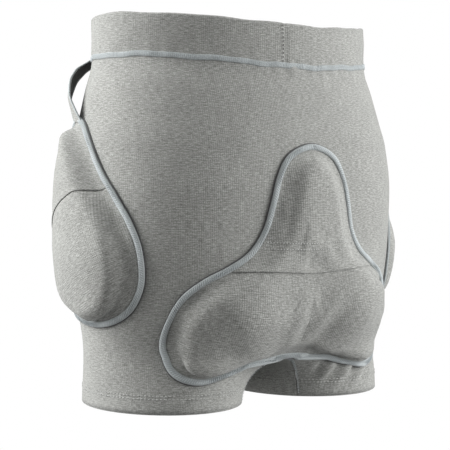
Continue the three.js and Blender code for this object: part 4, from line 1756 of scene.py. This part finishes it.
    def cover(self, name: str, first: int, last: int, raised: float, folds: Callable[[Array, Array], Array],
              rings: int = 46) -> bpy.types.Object:
        """One cover of the pocket.

        Args:
            name: object name.
            first: outline sample where the cover begins.
            last: outline sample where it ends.
            raised: how far its edge at the mouth stands over the other cover.
            folds: extra lift of the knit over the flat places.
            rings: number of rings.

        Returns:
            The object.
        """
        x, z = self.fan(first, last, rings)
        extra = folds(x, z)
        share = np.linspace(0, 1, rings + 1)[:, None]
        ends = np.zeros_like(x)
        ends[:, 0] = ends[:, -1] = 1
        near = np.minimum(np.arange(x.shape[1]), np.arange(x.shape[1])[::-1])[None, :] * share
        extra = extra + raised * np.exp(-near / 2.5) * smooth(1.0, 0.9, share)
        outer = self.on_cover(x, z, extra)
        faces = disc_faces(x.shape)
        step = self.on_cover(x, z, extra - self.fabric) - outer
        pinned = (ends > 0) | (share > 0.985) | (share < 0.09)
        flat = without_repeats(faces)
        settled = ClothPass().settle(outer.reshape(-1, 3), flat, np.broadcast_to(pinned, x.shape).ravel(),
                                     -step.reshape(-1, 3))
        outer = settled.reshape(outer.shape)
        return closed_sheet(name, outer, outer + step, faces, np.stack([x, z], -1))

    def binding_loop(self, low: float) -> bpy.types.Object:
        """Rounded binding along the bound edge."""
        return self.edge_loop("binding_tape", self.binding, low)

    def folded_edge(self) -> bpy.types.Object:
        """Painted shadow line: a thin near-black strip just outside the binding, standing for the shade where
        the binding's outer edge stands off the body.
        """
        return self.edge_loop("binding_fold", (4.4, 6.0, 1.0), 0.1)

    def edge_loop(self, name: str, section: tuple[float, float, float], low: float) -> bpy.types.Object:
        """Closed strip with a rounded section along the bound edge.

        Args:
            name: last part of the object's name.
            section: how far out it starts and ends, and its thickness.
            low: lift of its lower face.

        Returns:
            The object.
        """
        start, end, thick = section
        half = (end - start) / 2
        corners = []
        for k in range(12):
            a = 2 * math.pi * k / 12
            c, s = math.cos(a), math.sin(a)
            corners.append((start + half + half * abs(c) ** 0.6 * np.sign(c),
                            low + thick / 2 + thick / 2 * abs(s) ** 0.7 * np.sign(s)))
        run = np.cumsum(np.linalg.norm(np.roll(self.outline, -1, 0) - self.outline, axis=1))
        sway = 0.25 * np.sin(run / 9) + 0.15 * np.sin(run / 4.3)
        sections = []
        for reach, lift in corners:
            place = self.outline + self.normals * reach
            sections.append(self.chart(place[:, 0], place[:, 1], lift + sway * (lift > low + 1)))
        return swept_loop(f"{self.label}_{name}", np.stack(sections, 1))

    def binding_line(self, reach: float, lift: float) -> tuple[Array, Array, bool]:
        """Closed line on the binding for stitches.

        Args:
            reach: distance outside the outline.
            lift: lifts off the body.

        Returns:
            Points, outward directions, and whether the line closes.
        """
        place = self.outline + self.normals * reach
        line = self.chart(place[:, 0], place[:, 1], np.full(len(place), lift))
        out = self.chart(place[:, 0], place[:, 1], np.full(len(place), lift + 1)) - line
        return line, out / np.linalg.norm(out, axis=1, keepdims=True), True

    def insert(self) -> bpy.types.Object:
        """Foam insert with moulded channels."""
        rings = 40
        share = np.linspace(0, 1, rings + 1)[:, None] ** 0.8
        x = blend(self.middle[0], self.foam[None, :, 0], share)
        z = blend(self.middle[1], self.foam[None, :, 1], share)
        gap = distance_inside(self.foam, x, z)
        channels = np.minimum(np.abs(np.sin((x + z) / 9)), np.abs(np.sin((x - z) / 9)))
        carve = 2.2 * np.exp(-((channels / 0.16) ** 2)) * smooth(3, 9, gap)
        top = self.chart(x, z, self.seat + np.maximum(self.foam_top(x, z), 2.2) - 1.4 - carve)
        base = self.chart(x, z, np.full_like(x, self.seat - 0.3))
        uv = np.stack([x, z], -1)
        return closed_sheet(f"{self.label}_foam_insert", top, base, disc_faces(x.shape, True), uv)

    def backing(self, low: float, thickness: float) -> bpy.types.Object:
        """Flat sheet behind the insert, as wide as the bound edge.

        Args:
            low: lift of the lower face.
            thickness: thickness of the sheet.

        Returns:
            The object.
        """
        share = np.linspace(0, 1, 26)[:, None]
        x = blend(self.middle[0], self.outline[None, :, 0], share)
        z = blend(self.middle[1], self.outline[None, :, 1], share)
        outer = self.chart(x, z, np.full_like(x, low + thickness))
        inner = self.chart(x, z, np.full_like(x, low))
        uv = np.stack([x, z], -1)
        return closed_sheet(f"{self.label}_mesh_backing", outer, inner, disc_faces(x.shape, True), uv)


@dataclass
class HipPad:
    """Side pad: mesh backing, foam insert, two knit covers, binding and the slack strap above it."""

    cloth: ClothMap
    finish: Wardrobe
    side: Side
    outline: tuple[tuple[float, float], ...] = (
        (-38, 262), (-20, 257), (-2, 241), (20, 213), (37, 193), (53, 170), (62, 145), (61, 118), (48, 96),
        (27, 84), (2, 81), (-28, 86), (-56, 97), (-79, 114), (-90, 134), (-92, 152), (-88, 180), (-80, 208),
        (-70, 235), (-56, 256))
    mouth_ends: tuple[tuple[float, float], ...] = ((30, 203), (-93, 141))
    samples: int = 240
    strap_width: float = 32.0
    strap_shift: float = -45.0
    strap_bow: tuple[tuple[float, float], ...] = ((0, 1.5), (0.12, 6), (0.35, 13), (0.62, 15), (0.82, 12.5),
                                                  (0.93, 6.5), (1, 0.9))

    def plan(self) -> Pad:
        """The pad's shared sizes."""
        outline = closed_curve(self.outline, self.samples)
        mouth = tuple(int(np.argmin(np.hypot(*(outline - end).T))) for end in self.mouth_ends)
        return Pad(f"hip_{self.side.label}", self.cloth.from_side(self.side), outline, mouth,
                   margin_end=9, margin_side=16, margin_front=30,
                   foam_height=15.5, seat=2.4, arch=9.0, pull=0.15, thinning=(-5.0, -75.0, 0.42),
                   shoulder=0.62, droop=6.0)

    def upper_folds(self, x: Array, z: Array) -> Array:
        """Slack in the upper cover."""
        return 0.5 * np.sin((x * 0.9 + z * 0.5) / 8) * smooth(170, 215, z) * smooth(262, 235, z)

    def lower_folds(self, x: Array, z: Array) -> Array:
        """Slack in the lower cover, in the direction of its bias."""
        return 0.45 * np.sin((z - 0.5 * x) / 9) * smooth(75, 95, z) * smooth(-95, -60, x)

    def strap(self, name: str, low: float, high: float) -> bpy.types.Object:
        """One ply of the strap that bows out between the waist seam and the pad.

        Args:
            name: object name.
            low: lift of the inner face.
            high: lift of the outer face.

        Returns:
            The object.
        """
        across, u = self.strap_grid(np.linspace(-0.5, 0.5, 13), 60)
        place_x, place_z, bow = self.strap_place(across, u)
        chart = self.cloth.from_side(self.side)
        outer, inner = chart(place_x, place_z, bow + high), chart(place_x, place_z, bow + low)
        faces = grid_faces(np.arange(u.size).reshape(u.shape))
        return closed_sheet(name, outer, inner, faces, np.stack([place_x, place_z], -1))

    def strap_grid(self, across: Array, steps: int) -> tuple[Array, Array]:
        """Grid of places across and along the strap."""
        return tuple(np.broadcast_arrays(across[None, :], np.linspace(0, 1, steps + 1)[:, None]))

    def strap_place(self, across: Array, u: Array) -> tuple[Array, Array, Array]:
        """Flat place and lift on the strap.

        Args:
            across: shares of the width.
            u: shares of the length, from the pad.

        Returns:
            X, Z and lift.
        """
        base_x, base_z = self.outline[0]
        knots, bows = np.array(self.strap_bow).T
        dense = np.linspace(0, 1, 121)
        curve = np.interp(dense, knots, bows)
        for _ in range(30):
            curve[1:-1] = (curve[:-2] + 2 * curve[1:-1] + curve[2:]) / 4
        x = base_x + self.strap_shift * u + across * self.strap_width
        z = blend(base_z - 1.0, self.cloth.shape.seam_z + 1.5, u)
        return x, z, np.interp(u, dense, curve) + 0.35

    def strap_edge(self, across: float, name: str) -> bpy.types.Object:
        """Narrow light binding along one edge of the strap.

        Args:
            across: side of the strap.
            name: object name.

        Returns:
            The object.
        """
        chart = self.cloth.from_side(self.side)
        corners = []
        for k in range(8):
            a = 2 * math.pi * k / 8
            corners.append((math.cos(a) * 1.9, math.sin(a) * 1.2))
        u = np.linspace(0, 1, 70)
        sections = []
        for wide, lift in corners:
            x, z, bow = self.strap_place(np.full_like(u, across), u)
            sections.append(chart(x + wide, z, bow + 0.5 + lift))
        return swept_loop(name, np.stack(sections, 1), closed=False)

    def build(self) -> None:
        pad, label, finish = self.plan(), self.side.label, self.finish
        rear, front = pad.mouth
        body = f"hip_pad_{label}"
        insert = Belonging(finish.foam, "foam", body, (f"hip_foam_{label}",)).apply(pad.insert())
        mesh = Belonging(finish.mesh, "black_mesh", nodes=(f"hip_backing_{label}",))
        backing = mesh.apply(pad.backing(0.5, 0.9))
        declare_sheet(backing, 150.0, Held.STRETCHED, 1.0)
        upper = pad.cover(f"hip_cover_top_{label}", front, rear, 0.9, self.upper_folds)
        lower = pad.cover(f"hip_cover_pouch_{label}", rear, front, -0.5, self.lower_folds)
        chart = self.cloth.from_side(self.side)
        middle = chart(np.array([-15.0]), np.array([160.0]), np.array([0.0]))[0] * MM
        for obj, place, knit in ((upper, "upper", finish.knit), (lower, "lower", finish.knit_bias)):
            Belonging(knit, "melange_knit", nodes=(f"hip_cover_{place}_{label}",)).apply(obj)
            declare_sheet(obj, 150.0, Held.STRETCHED, 1.05)
            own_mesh(obj)
        binding = Belonging(finish.tape, "binding", nodes=(f"hip_binding_{label}",))
        binding.apply(pad.binding_loop(0.45))
        # Near-black strip beside the binding: painted shadow line where the binding stands off the body.
        Belonging(finish.dark_thread, "binding").apply(pad.folded_edge())
        rows = [pad.binding_line(2.35, 3.6)]
        stitches = StitchRow(2.1, 5.2, 0.85, 62).sew(f"hip_binding_stitches_{label}", rows, finish.thread)
        Belonging(finish.thread, "binding").apply(stitches)
        lining = self.strap(f"hip_strap_mesh_{label}", 0.0, 0.5)
        Belonging(finish.mesh, "black_mesh", nodes=(f"hip_strap_{label}",)).apply(lining)
        facing = self.strap(f"hip_strap_facing_{label}", 0.6, 1.3)
        Belonging(finish.knit, "melange_knit").apply(facing)
        for ply in (lining, facing):
            declare_sheet(ply, self.strap_width, Held.STRETCHED, 1.0)
        for across, word in ((-0.5, "front"), (0.5, "rear")):
            edge = self.strap_edge(across, f"hip_strap_edge_{word}_{label}")
            Belonging(finish.tape, "binding").apply(edge)


@dataclass
class TailPad:
    """Pad over the tail bone and the seat: foam insert, two knit covers and binding."""

    cloth: ClothMap
    finish: Wardrobe
    half_outline: tuple[tuple[float, float], ...] = (
        (0, 236), (23, 228), (35, 210), (42, 186), (49, 162), (63, 142), (84, 128), (106, 117), (125, 102),
        (134, 82), (131, 62), (120, 45), (104, 35), (82, 31), (58, 35), (37, 42), (17, 46.5), (0, 47.5))
    mouth_point: int = 6
    samples: int = 360
    hem_rows: tuple[float, float] = (20.0, 25.5)

    def plan(self) -> Pad:
        """The pad's shared sizes."""
        other = [(-x, z) for x, z in self.half_outline[-2:0:-1]]
        outline = closed_curve([*self.half_outline, *other], self.samples)
        x, z = self.half_outline[self.mouth_point]
        mouth = tuple(int(np.argmin(np.hypot(*(outline - (end, z)).T))) for end in (x, -x))
        return Pad("tail", self.cloth.from_back, outline, mouth,
                   margin_end=10, margin_side=14, margin_front=14,
                   foam_height=11, seat=1.6, pull=0.05, thin_ends=True, droop=8.5, spared=14.0)

    def upper_folds(self, x: Array, z: Array) -> Array:
        """Faint drags from the lobes up to the waist."""
        return 0.5 * np.sin(x / 9 + 0.5) * smooth(135, 160, z) * smooth(240, 190, z)

    def lower_folds(self, x: Array, z: Array) -> Array:
        """Folds of the lower cover: a ridge near the middle and a slanting ridge with a valley beside it.

        Args:
            x: flat places along the girth.
            z: heights, in millimetres.

        Returns:
            Extra lifts.
        """
        ridge = 1.5 * bell(x, 14, 9) * smooth(48, 62, z) * smooth(124, 108, z)
        slant = (x + 28) * 0.76 + (z - 95) * 0.64
        along = (x + 28) * 0.64 - (z - 95) * 0.76
        fold = (1.6 * bell(slant, 2, 7.5) - 1.6 * bell(slant, -12, 8)) * bell(along, 12, 26)
        lobes = 0.6 * np.sin((np.abs(x) * 0.8 - z) / 7) * smooth(55, 80, np.abs(x))
        return ridge + fold + lobes * smooth(30, 45, z)

    def hem_line(self, pad: Pad, rise: float, cover: bpy.types.Object) -> tuple[Array, Array, bool]:
        """Line of the upper cover's hem stitches, laid on the finished cover.

        Args:
            pad: the pad.
            rise: height over the mouth.
            cover: finished upper cover.

        Returns:
            Points, outward directions, and whether the line closes.
        """
        x = np.linspace(-52.0, 52.0, 160)
        z = np.full_like(x, pad.middle[1] + rise)
        extra = self.upper_folds(x, z)
        line = pad.on_cover(x, z, extra + 0.3)
        out = pad.on_cover(x, z, extra + 1.12) - line
        out = out / np.linalg.norm(out, axis=1, keepdims=True)
        return laid_on(cover, line, out), out, False

    def build(self) -> None:
        pad, finish = self.plan(), self.finish
        left, right = pad.mouth
        insert = Belonging(finish.foam, "foam", "tail_pad", ("tail_foam",)).apply(pad.insert())
        upper = pad.cover("tail_cover_top", right, left, 1.2, self.upper_folds)
        lower = pad.cover("tail_cover_seat", left, right, -0.4, self.lower_folds, rings=56)
        middle = self.cloth.from_back(np.array([0.0]), np.array([120.0]), np.array([0.0]))[0] * MM
        for obj, place in ((upper, "upper"), (lower, "lower")):
            Belonging(finish.knit, "melange_knit", nodes=(f"tail_cover_{place}",)).apply(obj)
            declare_sheet(obj, 200.0, Held.STRETCHED, 1.05)
            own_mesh(obj)
        Belonging(finish.tape, "binding", nodes=("tail_binding",)).apply(pad.binding_loop(0.3))
        # Near-black strip beside the binding: painted shadow line where the binding stands off the body.
        Belonging(finish.dark_thread, "binding").apply(pad.folded_edge())
        rows = [pad.binding_line(2.35, 3.45)]
        stitches = StitchRow(2.1, 5.2, 0.85, 62).sew("tail_binding_stitches", rows, finish.thread)
        Belonging(finish.thread, "binding").apply(stitches)
        hem_rows = [self.hem_line(pad, rise, upper) for rise in self.hem_rows]
        hem = StitchRow(2.8, 2.3, 0.75).sew("tail_hem_stitches", hem_rows, finish.grey_thread)
        Belonging(finish.grey_thread, "melange_knit").apply(hem)
        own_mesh(hem)


# ---- Stage ---------------------------------------------------------------------------------------
@dataclass
class Studio:
    """Camera, white surround and soft light. Angles are from straight behind, towards the wearer's left."""

    finish: Wardrobe
    view_angle: float = math.radians(37.3)
    view_reach: float = 1.3
    eye_height: float = 0.213
    aim: tuple[float, float, float] = (0.0039, -0.0149, 0.164)
    lens: float = 106.1

    def around(self, degrees: float, reach: float, height: float) -> Vector:
        """Place round the object, turned from the camera's side."""
        angle = self.view_angle + math.radians(degrees)
        return Vector((reach * math.sin(angle), reach * math.cos(angle), height))

    def camera(self) -> None:
        """Makes the camera."""
        data = bpy.data.cameras.new("camera")
        data.lens, data.sensor_width = self.lens, 36
        data.clip_start, data.clip_end = 0.05, 50
        obj = bpy.data.objects.new("camera", data)
        obj.location = self.around(0, self.view_reach, self.eye_height)
        obj.location.y += self.aim[1] + 0.003
        obj.rotation_euler = (Vector(self.aim) - obj.location).to_track_quat("-Z", "Y").to_euler()
        bpy.context.scene.collection.objects.link(obj)
        bpy.context.scene.camera = obj

    def softbox(self, name: str, degrees: float, reach: float, height: float, size: tuple[float, float],
                power: float) -> None:
        """Makes a rectangular soft light that looks at the object's middle.

        Args:
            name: object name.
            degrees: turn from the view.
            reach: distance from the middle.
            height: height.
            size: width and height of the light.
            power: power in watts.
        """
        data = bpy.data.lights.new(name, "AREA")
        data.shape, data.size, data.size_y, data.energy = "RECTANGLE", size[0], size[1], power
        obj = bpy.data.objects.new(name, data)
        obj.location = self.around(degrees, reach, height)
        obj.rotation_euler = (Vector((0, 0, 0.18)) - obj.location).to_track_quat("-Z", "Y").to_euler()
        bpy.context.scene.collection.objects.link(obj)

    def world(self) -> None:
        """Makes the white surround, which lights the body mostly from its two sides."""
        world = bpy.data.worlds.new("surround")
        world.use_nodes = True
        tree = world.node_tree
        back = tree.nodes["Background"]
        where = tree.nodes.new("ShaderNodeTexCoord")
        facing = tree.nodes.new("ShaderNodeVectorMath")
        facing.operation = "DOT_PRODUCT"
        facing.inputs[1].default_value = (math.cos(self.view_angle), -math.sin(self.view_angle), 0)
        both = tree.nodes.new("ShaderNodeMath")
        both.operation = "ABSOLUTE"
        ramp = tree.nodes.new("ShaderNodeMapRange")
        ramp.interpolation_type = "SMOOTHSTEP"
        for key, value in (("From Min", 0.3), ("From Max", 0.95), ("To Min", 0.22), ("To Max", 1.55)):
            ramp.inputs[key].default_value = value
        parts = tree.nodes.new("ShaderNodeSeparateXYZ")
        below = tree.nodes.new("ShaderNodeMapRange")
        for key, value in (("From Min", -0.7), ("From Max", 0.25), ("To Min", 0.42), ("To Max", 1.0)):
            below.inputs[key].default_value = value
        light = tree.nodes.new("ShaderNodeMath")
        light.operation = "MULTIPLY"
        paths = tree.nodes.new("ShaderNodeLightPath")
        seen = tree.nodes.new("ShaderNodeMath")
        seen.operation = "MAXIMUM"
        tree.links.new(where.outputs["Generated"], facing.inputs[0])
        tree.links.new(facing.outputs["Value"], both.inputs[0])
        tree.links.new(both.outputs[0], ramp.inputs["Value"])
        tree.links.new(where.outputs["Generated"], parts.inputs[0])
        tree.links.new(parts.outputs["Z"], below.inputs["Value"])
        tree.links.new(ramp.outputs[0], light.inputs[0])
        tree.links.new(below.outputs[0], light.inputs[1])
        tree.links.new(light.outputs[0], seen.inputs[0])
        tree.links.new(paths.outputs["Is Camera Ray"], seen.inputs[1])
        tree.links.new(seen.outputs[0], back.inputs[1])
        back.inputs[0].default_value = (1, 1, 1, 1)
        bpy.context.scene.world = world
        bpy.context.scene.view_settings.view_transform = "Standard"

    def build(self) -> None:
        """Makes the whole stage."""
        self.camera()
        self.world()
        self.softbox("softbox_left", 88, 1.6, 0.85, (0.9, 1.4), 46)
        self.softbox("softbox_right", -86, 1.6, 0.6, (0.9, 1.4), 29)
        self.softbox("softbox_top", 0, 0.1, 1.9, (1.2, 1.2), 4)


def main() -> None:
    """Builds the shorts round the frame, then the stage."""
    finish = Wardrobe()
    Studio(finish).build()
    cloth = ClothMap(WornShape())
    panels = BodyPanels(cloth, finish)
    panels.build()
    Waistband(cloth, finish).build()
    LegHems(panels, finish).build()
    for side in Side:
        HipPad(cloth, finish, side).build()
    TailPad(cloth, finish).build()
    boxes = {"cad": CAD_BOX, "visual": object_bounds()}
    {key: [list(corner) for corner in box] for key, box in boxes.items()}


if __name__ == "__main__":
    logging.basicConfig(level=logging.INFO, format="%(name)s: %(message)s")
    main()
